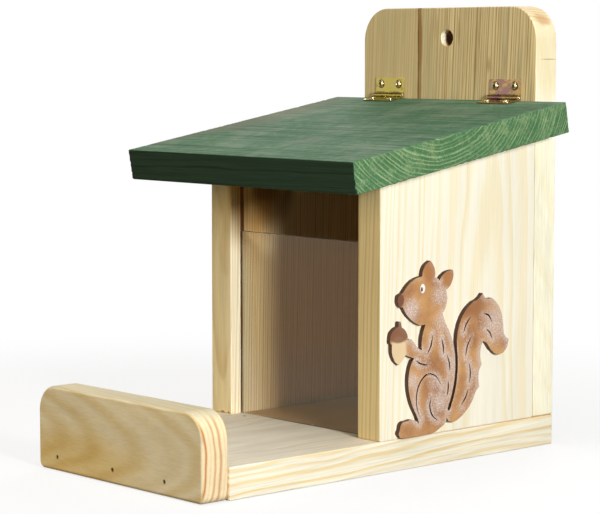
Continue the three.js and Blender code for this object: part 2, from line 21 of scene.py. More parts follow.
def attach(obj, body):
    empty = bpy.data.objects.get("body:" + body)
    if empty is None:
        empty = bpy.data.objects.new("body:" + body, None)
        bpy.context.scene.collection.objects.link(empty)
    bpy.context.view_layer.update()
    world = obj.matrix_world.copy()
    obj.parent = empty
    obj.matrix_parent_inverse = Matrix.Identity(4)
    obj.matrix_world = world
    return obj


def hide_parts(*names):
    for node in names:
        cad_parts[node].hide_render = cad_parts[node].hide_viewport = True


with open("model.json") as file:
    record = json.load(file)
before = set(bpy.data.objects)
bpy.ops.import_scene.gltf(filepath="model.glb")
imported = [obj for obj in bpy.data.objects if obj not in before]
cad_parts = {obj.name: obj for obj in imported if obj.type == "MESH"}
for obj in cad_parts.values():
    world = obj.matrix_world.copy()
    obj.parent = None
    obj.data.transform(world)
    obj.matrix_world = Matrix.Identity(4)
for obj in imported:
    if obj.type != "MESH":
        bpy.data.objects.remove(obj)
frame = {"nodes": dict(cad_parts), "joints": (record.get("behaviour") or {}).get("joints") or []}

LOG = logging.getLogger("feeder")

MM = 0.001
PER_METRE = 1000.0
ROOF_SLOPE = math.radians(9.7)
SHARP_ANGLE = math.radians(40)
MERGE_DISTANCE = 0.0005
SQUARE_ON = 0.99  # the cosine above which a face counts as facing an axis squarely
WHITE = "#ffffff"
MIRRORED_FRONT = "#fdd3ad"  # what the pane mirrors: the paper near the feeder, in warm light
MIRRORED_PAPER = "#d6d2c8"  # what hinges mirror: the paper far off
MIRRORED_ROOM = "#51483f"  # what they mirror of the room above the paper

AXIS_X = Vector((1, 0, 0))
AXIS_Y = Vector((0, 1, 0))
AXIS_Z = Vector((0, 0, 1))

Triple = tuple[float, float, float]
Tree = bpy.types.NodeTree
Node = bpy.types.Node
Source = bpy.types.Node | bpy.types.NodeSocket  # a node stands for its first output in use
BMesh = bmesh.types.BMesh
BMEdge = bmesh.types.BMEdge


class Side(Enum):
    """The two sides of the feeder, with the sign of their x."""

    LEFT = -1
    RIGHT = 1

    @property
    def word(self) -> str:
        """The side's name as the nodes spell it."""
        return self.name.lower()


class Body(Enum):
    """The bodies that pieces ride on."""

    BOX = "box"
    LID = "lid"


class Slot(Enum):
    """The record's material slots of the pieces made here."""

    PINE = "pine"
    GREEN_PINE = "green_stained_pine"
    PLYWOOD = "brown_plywood"
    ZINC = "yellow_zinc_steel"
    STEEL = "bright_steel"


def linear(code: str) -> tuple[float, float, float, float]:
    """Turns an sRGB hex colour into a linear one.

    Args:
        code: The colour as #rrggbb.

    Returns:
        Red, green, blue and an alpha of 1.
    """
    channels = [int(code[start:start + 2], 16) / 255 for start in (1, 3, 5)]
    red, green, blue = (
        c / 12.92 if c <= 0.04045 else ((c + 0.055) / 1.055) ** 2.4 for c in channels
    )
    return red, green, blue, 1.0


def feed(node: Node, inputs: dict[int | str, Any]) -> None:
    """Fills a node's sockets.

    Args:
        node: The node.
        inputs: What goes into each socket: a value, a colour as #rrggbb, an output socket
            to link, or a node to link by its first output in use.
    """
    for key, value in inputs.items():
        if isinstance(value, str):
            value = linear(value)
        if isinstance(value, Node):
            value = next(output for output in value.outputs if output.enabled)
        if isinstance(value, bpy.types.NodeSocket):
            node.id_data.links.new(value, node.inputs[key])
        else:
            node.inputs[key].default_value = value


def add_node(
    tree: Tree, kind: str, inputs: dict[int | str, Any] | None = None, **settings: Any,
) -> Node:
    """Adds a node with its settings, values and links.

    Args:
        tree: The node tree that gets the node.
        kind: The node's type, without ShaderNode before it.
        inputs: What goes into its sockets, as feed() takes it.
        **settings: Properties of the node.

    Returns:
        The new node.
    """
    node = tree.nodes.new(f"ShaderNode{kind}")
    for name, value in settings.items():
        setattr(node, name, value)
    feed(node, inputs or {})
    return node


# Finishes


@dataclass(frozen=True)
class Spot:
    """A spot with a soft edge: a dab of paint, a fleck, a resin streak, a painted shade or light.

    A glaze lets the pattern under it show through. Unevenness frays the edge by a noise.
    """

    centre: Triple
    radii: Triple
    colour: str
    softness: float = 0.15
    strength: float = 1.0
    unevenness: float = 0.0
    glaze: bool = False
    fray: float = 9.0

    def lay(self, tree: Tree, place: Source, colour: Source) -> Source:
        """Lays the spot over a colour.

        Args:
            tree: The material's tree.
            place: Object coordinates.
            colour: The colour under the spot.

        Returns:
            The colour with the spot on it.
        """
        local = add_node(tree, "Mapping", {
            "Vector": place,
            "Location": [-at / radius for at, radius in zip(self.centre, self.radii)],
            "Scale": [PER_METRE / radius for radius in self.radii],
        })
        reach = add_node(tree, "VectorMath", {0: local}, operation="LENGTH")
        if self.unevenness:
            grain = add_node(tree, "TexNoise", {
                "Vector": place, "Scale": PER_METRE / self.fray, "Detail": 2.0,
            })
            spread = add_node(tree, "Math", {
                0: grain, 1: self.unevenness, 2: 1 - self.unevenness / 2,
            }, operation="MULTIPLY_ADD")
            reach = add_node(tree, "Math", {0: reach, 1: spread}, operation="MULTIPLY")
        mask = add_node(tree, "MapRange", {
            "Value": reach, "From Min": 1 - self.softness, "From Max": 1 + self.softness,
            "To Min": self.strength, "To Max": 0.0,
        }, interpolation_type="SMOOTHSTEP")
        return add_node(
            tree, "Mix", {0: mask, 6: colour, 7: self.colour},
            data_type="RGBA", blend_type="MULTIPLY" if self.glaze else "MIX",
        )


def spotted(tree: Tree, colour: Source, spots: Iterable[Spot]) -> Source:
    """Lays spots over a colour.

    Args:
        tree: The material's tree.
        colour: The colour under the spots.
        spots: The spots, the lowest first.

    Returns:
        The colour with the spots on it.
    """
    place = add_node(tree, "TexCoord").outputs["Object"]
    for spot in spots:
        colour = spot.lay(tree, place, colour)
    return colour


def squareness(tree: Tree, axis: Sequence[float]) -> Node:
    """How squarely a surface faces along an axis.

    Args:
        tree: The material's tree.
        axis: The axis.

    Returns:
        1 where the surface faces along the axis, either way, and 0 where it lies along it.
    """
    along = add_node(tree, "VectorMath", {
        0: add_node(tree, "TexCoord").outputs["Normal"], 1: Vector(axis).normalized(),
    }, operation="DOT_PRODUCT")
    return add_node(tree, "Math", {0: along}, operation="ABSOLUTE")


@dataclass(frozen=True)
class Tone:
    """The two colours of a pine surface: the wide early wood and the thin late wood of each ring.

    A thinness above 1 draws the late wood as narrower lines.
    """

    early: str
    late: str
    contrast: float = 1.0
    thinness: float = 1.0

    def colour(self, tree: Tree, late: Source) -> Node:
        """The tone's colour where the rings are as given.

        Args:
            tree: The material's tree.
            late: 0 in early wood, up to 1 in late wood.

        Returns:
            The colour.
        """
        drawn = add_node(tree, "Math", {0: late, 1: self.thinness}, operation="POWER")
        amount = add_node(tree, "Math", {0: drawn, 1: self.contrast}, operation="MULTIPLY")
        return add_node(tree, "Mix", {0: amount, 6: self.early, 7: self.late}, data_type="RGBA")


@dataclass(frozen=True)
class Log:
    """Where a board lay in its log, which gives the same rings on all of its faces.

    Each ring is late wood between two shares of its width. The rings stray from circles by
    a noise, whose scale is per mm along and across the grain and whose reach is in mm. Good
    and poor years change a ring's width by the year swing and its darkness down to the
    weakest.
    """

    pith: Triple
    run: Triple
    ring: float
    wander: float = 1.5
    late_from: float = 0.35
    late_to: float = 0.9
    late_edge: float = 0.04
    stray_scale: Triple = (0.009, 0.035, 0.035)
    stray_reach: float = 6.0
    year_rhythm: float = 0.31
    year_swing: float = 1.6
    harvest_rhythm: float = 0.7
    weakest: float = 0.35

    def place(self, tree: Tree) -> Node:
        """Coordinates in millimetres with the pith as their x axis.

        Args:
            tree: The material's tree.

        Returns:
            The coordinates.
        """
        turn = Vector(self.run).rotation_difference(AXIS_X)
        return add_node(tree, "Mapping", {
            "Vector": add_node(tree, "TexCoord").outputs["Object"],
            "Location": -(turn @ Vector(self.pith)),
            "Rotation": turn.to_euler(),
            "Scale": (PER_METRE,) * 3,
        })

    def streaks(
        self, tree: Tree, place: Source, length: float, width: float, start: float = 0.0,
    ) -> Node:
        """Noise drawn out along the grain.

        Args:
            tree: The material's tree.
            place: Coordinates from place().
            length: A streak's length, mm.
            width: A streak's width, mm.
            start: Where in the noise the board begins, so that two kinds of streak differ.

        Returns:
            A value about 0.5.
        """
        drawn = add_node(tree, "VectorMath", {
            0: place, 1: (1 / length, 1 / width, 1 / width), 2: (start,) * 3,
        }, operation="MULTIPLY_ADD")
        return add_node(tree, "TexNoise", {
            "Vector": drawn, "Scale": 1.0, "Detail": 3.0, "Roughness": 0.6,
        })

    def years(self, tree: Tree, place: Source) -> Node:
        """Counts the rings from the pith.

        Args:
            tree: The material's tree.
            place: Coordinates from place().

        Returns:
            The number of rings, in even years.
        """
        drawn = add_node(
            tree, "VectorMath", {0: place, 1: self.stray_scale}, operation="MULTIPLY",
        )
        stray = add_node(tree, "TexNoise", {"Vector": drawn, "Scale": 1.0, "Detail": 2.0})
        reach = self.stray_reach * self.wander
        wander = add_node(tree, "VectorMath", {
            0: stray.outputs["Color"], 1: (0, reach, reach), 2: (0, -reach / 2, -reach / 2),
        }, operation="MULTIPLY_ADD")
        across = add_node(
            tree, "VectorMath", {0: place, 1: (0, 1, 1), 2: wander}, operation="MULTIPLY_ADD",
        )
        radius = add_node(tree, "VectorMath", {0: across}, operation="LENGTH")
        return add_node(tree, "Math", {0: radius, 1: self.ring}, operation="DIVIDE")

    def rings(self, tree: Tree, place: Source) -> Node:
        """The rings of the log.

        Args:
            tree: The material's tree.
            place: Coordinates from place().

        Returns:
            0 in early wood, up to 1 in late wood.
        """
        count = self.years(tree, place)
        year = add_node(tree, "TexNoise", {
            "W": count, "Scale": self.year_rhythm, "Detail": 1.0,
        }, noise_dimensions="1D")
        uneven = add_node(
            tree, "Math", {0: year, 1: self.year_swing, 2: count}, operation="MULTIPLY_ADD",
        )
        part = add_node(tree, "Math", {0: uneven}, operation="FRACT")
        rise = add_node(tree, "MapRange", {
            "Value": part, "From Min": self.late_from, "From Max": self.late_to - self.late_edge,
        }, interpolation_type="SMOOTHSTEP")
        fall = add_node(tree, "MapRange", {
            "Value": part, "From Min": self.late_to, "From Max": 1.0,
            "To Min": 1.0, "To Max": 0.0,
        }, interpolation_type="SMOOTHSTEP")
        ring = add_node(tree, "Math", {0: rise, 1: fall}, operation="MULTIPLY")
        harvest = add_node(tree, "TexNoise", {
            "W": count, "Scale": self.harvest_rhythm, "Detail": 1.0,
        }, noise_dimensions="1D")
        strength = add_node(tree, "MapRange", {
            "Value": harvest, "From Min": 0.3, "From Max": 0.65,
            "To Min": self.weakest, "To Max": 1.0,
        })
        return add_node(tree, "Math", {0: ring, 1: strength}, operation="MULTIPLY")


@dataclass(frozen=True)
class Fade:
    """Drawn-out patches of another colour, such as worn stain or sapwood.

    Patches lie where a noise is over a brink. A share of 0 leaves few of them and a share of
    1, which lowers the brink by its fall, leaves few gaps between them.
    """

    colour: str
    length: float
    width: float
    share: float
    strength: float = 0.6
    start: float = 7.3
    softness: float = 0.09
    brink: float = 0.68
    brink_fall: float = 0.36

    def lay(self, tree: Tree, log: Log, place: Source, colour: Source) -> Node:
        """Lays the patches over a colour.

        Args:
            tree: The material's tree.
            log: The log whose grain the patches follow.
            place: Coordinates from the log's place().
            colour: The colour under the patches.

        Returns:
            The colour with the patches on it.
        """
        edge = self.brink - self.brink_fall * self.share
        mask = add_node(tree, "MapRange", {
            "Value": log.streaks(tree, place, self.length, self.width, self.start),
            "From Min": edge - self.softness, "From Max": edge + self.softness,
            "To Max": self.strength,
        }, interpolation_type="SMOOTHSTEP")
        return add_node(tree, "Mix", {0: mask, 6: colour, 7: self.colour}, data_type="RGBA")


class Finish:
    """A surface finish that makes one material."""

    name: str

    def paint(self, tree: Tree, shader: Node) -> None:
        """Sets the shader's values and builds the nodes that feed it."""
        raise NotImplementedError

    def material(self) -> bpy.types.Material:
        """The finish's material, made the first time it is asked for.

        Returns:
            The material.
        """
        made = bpy.data.materials.get(self.name)
        if made is None:
            made = bpy.data.materials.new(self.name)
            made.use_nodes = True
            self.paint(made.node_tree, made.node_tree.nodes["Principled BSDF"])
        return made


@dataclass(frozen=True)
class SawnTimber(Finish):
    """Softwood cut from a log: rings and fibres run through the board and show on every face.

    Its broad faces, its long edges and its end grain take colour and stain differently. On the
    walls, the back board and the roof the face tones are partly painted light as well: faces
    turned to the lamps are paler, and faces in shade warmer and deeper. The sizes of its
    fibres, clouds and fuzz are in mm.
    """

    name: str
    log: Log
    width_axis: Triple
    broad: Tone
    edge: Tone
    end: Tone
    roughness: float = 0.66
    roughness_swing: float = 0.1
    gloss: float = 0.2
    relief: float = 0.12
    late_relief: float = 0.6
    fibre_size: tuple[float, float] = (45, 0.8)
    fibre_shade: float = 0.12
    cloud_size: tuple[float, float] = (110, 16)
    cloud_shade: float = 0.1
    end_fuzz: float = 0.0
    fuzz_width: float = 1.4
    fuzz_colour: str = "#cfdcc0"
    fades: tuple[Fade, ...] = ()
    end_fades: tuple[Fade, ...] = ()
    spots: tuple[Spot, ...] = ()

    def facing(self, tree: Tree, axis: Triple) -> Node:
        """Tells faces across an axis from those along it, with a soft step on rounded edges.

        Args:
            tree: The material's tree.
            axis: The axis.

        Returns:
            1 on faces across the axis and 0 on the others.
        """
        return add_node(tree, "MapRange", {
            "Value": squareness(tree, axis), "From Min": 0.45, "From Max": 0.9,
        }, interpolation_type="SMOOTHSTEP")

    def surface(self, tree: Tree, place: Source, late: Source) -> Node:
        """The colour of the board before fibres and clouds.

        Args:
            tree: The material's tree.
            place: Coordinates from the log's place().
            late: The log's rings.

        Returns:
            The colour of whichever face it is.
        """
        broad, edge, end = (
            tone.colour(tree, late) for tone in (self.broad, self.edge, self.end)
        )
        for fade in self.fades:
            broad = fade.lay(tree, self.log, place, broad)
        for fade in self.end_fades:
            end = fade.lay(tree, self.log, place, end)
        sides = add_node(tree, "Mix", {
            0: self.facing(tree, self.width_axis), 6: broad, 7: edge,
        }, data_type="RGBA")
        return add_node(tree, "Mix", {
            0: self.facing(tree, self.log.run), 6: sides, 7: self.fuzzed(tree, end),
        }, data_type="RGBA")

    def fuzzed(self, tree: Tree, colour: Source) -> Source:
        """Lays the pale fuzz of torn fibres over the colour of sawn ends.

        Args:
            tree: The material's tree.
            colour: The colour of the ends.

        Returns:
            The colour with the fuzz on it.
        """
        if not self.end_fuzz:
            return colour
        fibres = add_node(tree, "TexNoise", {
            "Vector": add_node(tree, "TexCoord").outputs["Object"],
            "Scale": PER_METRE / self.fuzz_width, "Detail": 3.0, "Roughness": 0.8,
        })
        mask = add_node(tree, "MapRange", {
            "Value": fibres, "From Min": 0.5, "From Max": 0.74, "To Max": self.end_fuzz,
        }, interpolation_type="SMOOTHSTEP")
        return add_node(tree, "Mix", {0: mask, 6: colour, 7: self.fuzz_colour}, data_type="RGBA")

    def shaded(self, tree: Tree, colour: Source, streak: Source, amount: float) -> Node:
        """Makes a colour lighter and darker along streaks.

        Args:
            tree: The material's tree.
            colour: The colour.
            streak: Streaks from the log.
            amount: The share by which it changes each way.

        Returns:
            The shaded colour.
        """
        gain = add_node(tree, "MapRange", {
            "Value": streak, "From Min": 0.25, "From Max": 0.75,
            "To Min": 1 - amount, "To Max": 1 + amount,
        })
        return add_node(tree, "VectorMath", {0: colour, "Scale": gain}, operation="SCALE")

    def paint(self, tree: Tree, shader: Node) -> None:
        """Lays rings, fibres, clouds and spots over the tones of the board's faces.

        Args:
            tree: The material's tree.
            shader: Its shader.
        """
        place = self.log.place(tree)
        late = self.log.rings(tree, place)
        fibre = self.log.streaks(tree, place, *self.fibre_size)
        cloud = self.log.streaks(tree, place, *self.cloud_size)
        colour = self.surface(tree, place, late)
        colour = self.shaded(tree, colour, fibre, self.fibre_shade)
        colour = self.shaded(tree, colour, cloud, self.cloud_shade)
        dull = add_node(tree, "MapRange", {
            "Value": fibre, "To Min": self.roughness + self.roughness_swing,
            "To Max": self.roughness - self.roughness_swing,
        })
        height = add_node(
            tree, "Math", {0: late, 1: self.late_relief, 2: fibre}, operation="MULTIPLY_ADD",
        )
        feed(shader, {
            "Base Color": spotted(tree, colour, self.spots),
            "Specular IOR Level": self.gloss,
            "Roughness": dull,
            "Normal": add_node(tree, "Bump", {
                "Height": height, "Strength": 0.6, "Distance": self.relief * MM,
            }),
        })


@dataclass(frozen=True)
class StainedPlywood(Finish):
    """Laser-cut birch plywood, stained brown and brushed with pale frost along its edges.

    The sizes of its clouds, drops and flecks are in mm.
    """

    name: str = "brown_stained_birch_plywood"
    stain: str = "#c8975f"
    deep: str = "#9f6d45"
    frost: str = "#cdb7aa"
    speck: str = "#f3ebe4"
    scorch: str = "#472814"
    cloud_size: float = 14
    drop_size: float = 1.1
    fleck_size: float = 0.8
    spray: float = 1.1
    roughness: float = 0.62
    relief: float = 0.05
    spots: tuple[Spot, ...] = ()

    def frosted(self, tree: Tree, colour: Source, drops: Source) -> Node:
        """Brushes the frost on where the piece's own attribute has it.

        Args:
            tree: The material's tree.
            colour: The stain.
            drops: A noise that breaks the frost into fine drops.

        Returns:
            The colour with frost and with white flecks in the frost.
        """
        frost = add_node(tree, "Attribute", attribute_name="frost")
        spray = add_node(tree, "Math", {
            0: drops, 1: self.spray, 2: -self.spray / 2,
        }, operation="MULTIPLY_ADD")
        loose = add_node(tree, "Math", {0: frost.outputs["Fac"], 1: spray}, operation="ADD")
        cover = add_node(tree, "MapRange", {
            "Value": loose, "From Min": 0.15, "From Max": 0.95, "To Max": 0.85,
        }, interpolation_type="SMOOTHSTEP")
        frosted = add_node(
            tree, "Mix", {0: cover, 6: colour, 7: self.frost}, data_type="RGBA",
        )
        dots = add_node(tree, "TexNoise", {
            "Vector": add_node(tree, "TexCoord").outputs["Object"],
            "Scale": PER_METRE / self.fleck_size, "Detail": 0.0,
        })
        white = add_node(tree, "MapRange", {
            "Value": dots, "From Min": 0.58, "From Max": 0.68, "To Max": 0.8,
        }, interpolation_type="SMOOTHSTEP")
        flecks = add_node(tree, "Math", {0: white, 1: cover}, operation="MULTIPLY")
        return add_node(tree, "Mix", {0: flecks, 6: frosted, 7: self.speck}, data_type="RGBA")

    def paint(self, tree: Tree, shader: Node) -> None:
        """Lays frost and dabs of paint over cloudy stain, and scorches the cut edges.

        Args:
            tree: The material's tree.
            shader: Its shader.
        """
        coordinates = add_node(tree, "TexCoord")
        place = coordinates.outputs["Object"]
        cloud = add_node(tree, "TexNoise", {
            "Vector": place, "Scale": PER_METRE / self.cloud_size, "Detail": 3.0,
        })
        drops = add_node(tree, "TexNoise", {
            "Vector": place, "Scale": PER_METRE / self.drop_size, "Detail": 2.0, "Roughness": 0.7,
        })
        depth = add_node(tree, "MapRange", {"Value": cloud, "From Min": 0.35, "From Max": 0.7})
        ground = add_node(
            tree, "Mix", {0: depth, 6: self.stain, 7: self.deep}, data_type="RGBA",
        )
        front = add_node(tree, "VectorMath", {
            0: coordinates.outputs["Normal"], 1: (1, 0, 0),
        }, operation="DOT_PRODUCT")
        flat = add_node(tree, "MapRange", {
            "Value": front, "From Min": 0.55, "From Max": 0.95,
        }, interpolation_type="SMOOTHSTEP")
        colour = spotted(tree, self.frosted(tree, ground, drops), self.spots)
        feed(shader, {
            "Base Color": add_node(
                tree, "Mix", {0: flat, 6: self.scorch, 7: colour}, data_type="RGBA",
            ),
            "Roughness": self.roughness,
            "Normal": add_node(tree, "Bump", {
                "Height": drops, "Strength": 0.4, "Distance": self.relief * MM,
            }),
        })


@dataclass(frozen=True)
class ClearAcrylic(Finish):
    """Cast acrylic sheet: clear and polished, so it shows mostly by what it mirrors."""

    name: str = "clear_cast_acrylic"
    tint: str = "#f4f6f2"
    passed_light: str = "#ded9d2"
    polish: float = 0.03
    saw_cut: float = 0.5
    ior: float = 1.49

    def paint(self, tree: Tree, shader: Node) -> None:
        """Makes clear plastic with matt edges that lets lamps and soft light through.

        The light that passes is a little less, for what both faces mirror away.

        Args:
            tree: The material's tree.
            shader: Its shader.
        """
        rough = add_node(tree, "MapRange", {
            "Value": squareness(tree, AXIS_Y), "From Min": 0.8, "From Max": 0.95,
            "To Min": self.saw_cut, "To Max": self.polish,
        })
        feed(shader, {
            "Base Color": self.tint, "Roughness": rough, "IOR": self.ior,
            "Transmission Weight": 1.0,
        })
        clear = add_node(tree, "BsdfTransparent", {"Color": self.passed_light})
        path = add_node(tree, "LightPath").outputs
        soft = add_node(tree, "Math", {
            0: path["Is Shadow Ray"], 1: path["Is Diffuse Ray"],
        }, operation="MAXIMUM")
        feed(tree.nodes["Material Output"], {
            "Surface": add_node(tree, "MixShader", {0: soft, 1: shader, 2: clear}),
        })


@dataclass(frozen=True)
class YellowZinc(Finish):
    """Zinc plate with a yellow passivation.

    The film shows gold, pink and green by its thickness. The sizes of its drifts are in mm.
    """

    name: str
    gold: str = "#bda64c"
    blush: str = "#8f7073"
    leaf: str = "#8f9350"
    blush_share: float = 0.3
    blush_size: float = 7
    leaf_size: float = 4.2
    roughness: float = 0.14
    wear: float = 0.2
    spots: tuple[Spot, ...] = ()

    def paint(self, tree: Tree, shader: Node) -> None:
        """Lays drifts of film colour over bright plate, then the spots.

        Args:
            tree: The material's tree.
            shader: Its shader.
        """
        place = add_node(tree, "TexCoord").outputs["Object"]
        drift = add_node(tree, "TexNoise", {
            "Vector": place, "Scale": PER_METRE / self.blush_size, "Detail": 2.0,
            "Distortion": 0.6,
        })
        other = add_node(tree, "TexNoise", {
            "Vector": place, "Scale": PER_METRE / self.leaf_size, "Detail": 2.0,
        })
        pink = add_node(tree, "MapRange", {
            "Value": drift,
            "From Min": 0.62 - self.blush_share / 2, "From Max": 0.8 - self.blush_share / 2,
        }, interpolation_type="SMOOTHSTEP")
        green = add_node(tree, "MapRange", {
            "Value": other, "From Min": 0.55, "From Max": 0.7, "To Max": 0.6,
        }, interpolation_type="SMOOTHSTEP")
        warm = add_node(tree, "Mix", {0: pink, 6: self.gold, 7: self.blush}, data_type="RGBA")
        film = add_node(tree, "Mix", {0: green, 6: warm, 7: self.leaf}, data_type="RGBA")
        worn = add_node(tree, "MapRange", {
            "Value": other, "To Min": self.roughness, "To Max": self.roughness + self.wear,
        })
        feed(shader, {
            "Base Color": spotted(tree, film, self.spots), "Metallic": 1.0, "Roughness": worn,
        })


@dataclass(frozen=True)
class DrawnSteel(Finish):
    """Bright drawn steel wire, as nails and hinge pins are made of, with faint drawing marks."""

    name: str = "bright_drawn_steel"
    colour: str = "#c4c2bd"
    roughness: float = 0.25
    mark_size: float = 0.9

    def paint(self, tree: Tree, shader: Node) -> None:
        """Makes polished steel whose marks change its gloss and its shade.

        Args:
            tree: The material's tree.
            shader: Its shader.
        """
        marks = add_node(tree, "TexNoise", {
            "Vector": add_node(tree, "TexCoord").outputs["Object"],
            "Scale": PER_METRE / self.mark_size, "Detail": 2.0,
        })
        worn = add_node(tree, "MapRange", {
            "Value": marks, "To Min": self.roughness - 0.1, "To Max": self.roughness + 0.15,
        })
        dim = add_node(tree, "MapRange", {"Value": marks, "To Min": 0.75, "To Max": 1.1})
        shade = add_node(tree, "VectorMath", {
            0: linear(self.colour)[:3], "Scale": dim,
        }, operation="SCALE")
        feed(shader, {"Base Color": shade, "Metallic": 1.0, "Roughness": worn})


def seen_by(tree: Tree) -> tuple[Node, Node]:
    """Tells the kinds of ray apart.

    Args:
        tree: The tree of a material or of the world.

    Returns:
        1 for rays from the camera, from mirrors and through clear things, and 1 for all rays
        that were mirrored on their way.
    """
    path = add_node(tree, "LightPath").outputs
    direct = add_node(tree, "Math", {
        0: path["Is Camera Ray"], 1: path["Is Glossy Ray"],
    }, operation="MAXIMUM")
    mirror = add_node(tree, "Math", {0: path["Glossy Depth"], 1: 1.0}, operation="MINIMUM")
    either = add_node(tree, "Math", {
        0: direct, 1: path["Is Transmission Ray"],
    }, operation="MAXIMUM")
    return either, mirror


@dataclass(frozen=True)
class StudioPaper(Finish):
    """White background paper, which keeps the feeder's shadow and gives little light back.

    Its reaches are in metres.
    """

    name: str = "white_studio_paper"
    near_glow: float = 0.75
    shadow_reach: float = 0.3
    lit: str = "#fbfbfa"
    bounce: str = "#5f5e5b"
    mirrored_reach: float = 1.1
    roughness: float = 0.9

    def paint(self, tree: Tree, shader: Node) -> None:
        """Shows near white to the camera, dimmer in mirrors and plain grey to soft light.

        Away from the feeder the paper glows fully, so that it has no horizon.

        Args:
            tree: The material's tree.
            shader: Its shader.
        """
        away = add_node(tree, "VectorMath", {
            0: add_node(tree, "TexCoord").outputs["Object"],
        }, operation="LENGTH")
        glowing, far = (
            add_node(tree, "MapRange", {
                "Value": away, "From Min": reach, "From Max": 2 * reach, "To Min": least,
            }, interpolation_type="SMOOTHSTEP")
            for reach, least in ((self.shadow_reach, self.near_glow), (self.mirrored_reach, 0.0))
        )
        direct, mirror = seen_by(tree)
        tone = add_node(tree, "Mix", {0: direct, 6: self.bounce, 7: self.lit}, data_type="RGBA")
        feed(shader, {
            "Base Color": tone, "Roughness": self.roughness, "Specular IOR Level": 0.0,
        })
        mirrored = add_node(
            tree, "Mix", {0: far, 6: MIRRORED_FRONT, 7: MIRRORED_PAPER}, data_type="RGBA",
        )
        shown = add_node(tree, "Mix", {0: mirror, 6: WHITE, 7: mirrored}, data_type="RGBA")
        glow = add_node(tree, "Emission", {"Color": shown})
        share = add_node(tree, "Math", {0: direct, 1: glowing}, operation="MULTIPLY")
        feed(tree.nodes["Material Output"], {
            "Surface": add_node(tree, "MixShader", {0: share, 1: shader, 2: glow}),
        })


# Making pieces


def node_box(name: str, turn: Matrix | None = None) -> tuple[Vector, Vector]:
    """The box of a node in millimetres, in the feeder's frame or in a turned one.

    Args:
        name: The node.
        turn: Takes points from the feeder's frame to the other frame.

    Returns:
        The lowest and the highest corner.
    """
    turn = turn or Matrix.Identity(4)
    points = np.array([turn @ (v.co * PER_METRE) for v in frame["nodes"][name].data.vertices])
    return Vector(points.min(0)), Vector(points.max(0))


def cleaned(bm: BMesh) -> BMesh:
    """Merges doubles and turns all faces outwards.

    Args:
        bm: The body.

    Returns:
        The same body.
    """
    bmesh.ops.remove_doubles(bm, verts=bm.verts[:], dist=MERGE_DISTANCE)
    bmesh.ops.recalc_face_normals(bm, faces=bm.faces[:])
    return bm


def moved(bm: BMesh, place: Matrix) -> BMesh:
    """Moves a body to its place and cleans it."""
    bmesh.ops.transform(bm, matrix=place, verts=bm.verts[:])
    return cleaned(bm)


def extruded(bm: BMesh, faces: Sequence[bmesh.types.BMFace], way: Sequence[float]) -> list[Any]:
    """Draws faces out.

    Args:
        bm: The body.
        faces: The faces.
        way: How far and which way.

    Returns:
        The geometry that was drawn out.
    """
    drawn = bmesh.ops.extrude_face_region(bm, geom=faces)["geom"]
    verts = [part for part in drawn if isinstance(part, bmesh.types.BMVert)]
    bmesh.ops.translate(bm, verts=verts, vec=way)
    return drawn


def bevelled(bm: BMesh, edges: Iterable[BMEdge], width: float, segments: int) -> None:
    """Rounds edges.

    Args:
        bm: The body.
        edges: Its edges.
        width: The width, which is the radius at a square corner.
        segments: Faces round the edge.
    """
    bmesh.ops.bevel(
        bm, geom=list(edges), offset=width, offset_type="OFFSET", affect="EDGES",
        segments=segments, profile=0.5, material=-1, clamp_overlap=False,
    )


def sliced(bm: BMesh, cuts: Iterable[tuple[Vector, float]]) -> None:
    """Divides a body's faces along planes.

    Args:
        bm: The body.
        cuts: Each plane's axis and its place along it.
    """
    for axis, at in cuts:
        bmesh.ops.bisect_plane(
            bm, geom=bm.verts[:] + bm.edges[:] + bm.faces[:], plane_co=axis * at, plane_no=axis,
        )


def grid_cuts(low: Vector, high: Vector, cell: float) -> list[tuple[Vector, float]]:
    """Planes across y and z that divide a box into square cells, for sliced().

    Args:
        low: The box's lowest corner.
        high: Its highest corner.
        cell: The size of a cell, mm.

    Returns:
        Each plane's axis and its place along it.
    """
    spans = ((AXIS_Y, low.y, high.y), (AXIS_Z, low.z, high.z))
    return [(axis, at) for axis, start, end in spans for at in np.arange(start + cell, end, cell)]


def spun(profile: Sequence[tuple[float, float]], steps: int) -> BMesh:
    """Turns a profile about +Z.

    Args:
        profile: Points of radius and height that begin and end on the axis.
        steps: Faces round the axis.

    Returns:
        A closed turned body.
    """
    bm = bmesh.new()
    verts = [bm.verts.new((radius, 0, height)) for radius, height in profile]
    edges = [bm.edges.new(pair) for pair in zip(verts, verts[1:])]
    bmesh.ops.spin(
        bm, geom=verts + edges, cent=(0, 0, 0), axis=AXIS_Z, angle=math.tau,
        steps=steps, use_merge=True, use_duplicate=False,
    )
    return cleaned(bm)


def quarter_turn(steps: int) -> list[float]:
    """Even angles of a quarter turn from 0, without its end."""
    return [math.pi / 2 * i / steps for i in range(steps)]


def loose_object(name: str, bm: BMesh) -> bpy.types.Object:
    """Puts a body into the scene as an object of its own.

    Args:
        name: The object's name.
        bm: The body. It is used up.

    Returns:
        The object.
    """
    mesh = bpy.data.meshes.new(name)
    bm.to_mesh(mesh)
    bm.free()
    made = bpy.data.objects.new(name, mesh)
    bpy.context.scene.collection.objects.link(made)
    return made


def without(bm: BMesh, cutters: Iterable[BMesh]) -> BMesh:
    """Cuts bodies out of another body.

    Args:
        bm: The body that is cut. It is used up.
        cutters: The bodies taken away. They are used up.

    Returns:
        The body that is left.
    """
    target = loose_object("cut_target", bm)
    tools = [loose_object("cut_tool", cutter) for cutter in cutters]
    for tool in tools:
        cut = target.modifiers.new("cut", "BOOLEAN")
        cut.operation = "DIFFERENCE"
        cut.solver = "EXACT"
        cut.object = tool
    graph = bpy.context.evaluated_depsgraph_get()
    result = bmesh.new()
    result.from_mesh(target.evaluated_get(graph).to_mesh())
    for used in [target, *tools]:
        mesh = used.data
        bpy.data.objects.remove(used)
        bpy.data.meshes.remove(mesh)
    return cleaned(result)


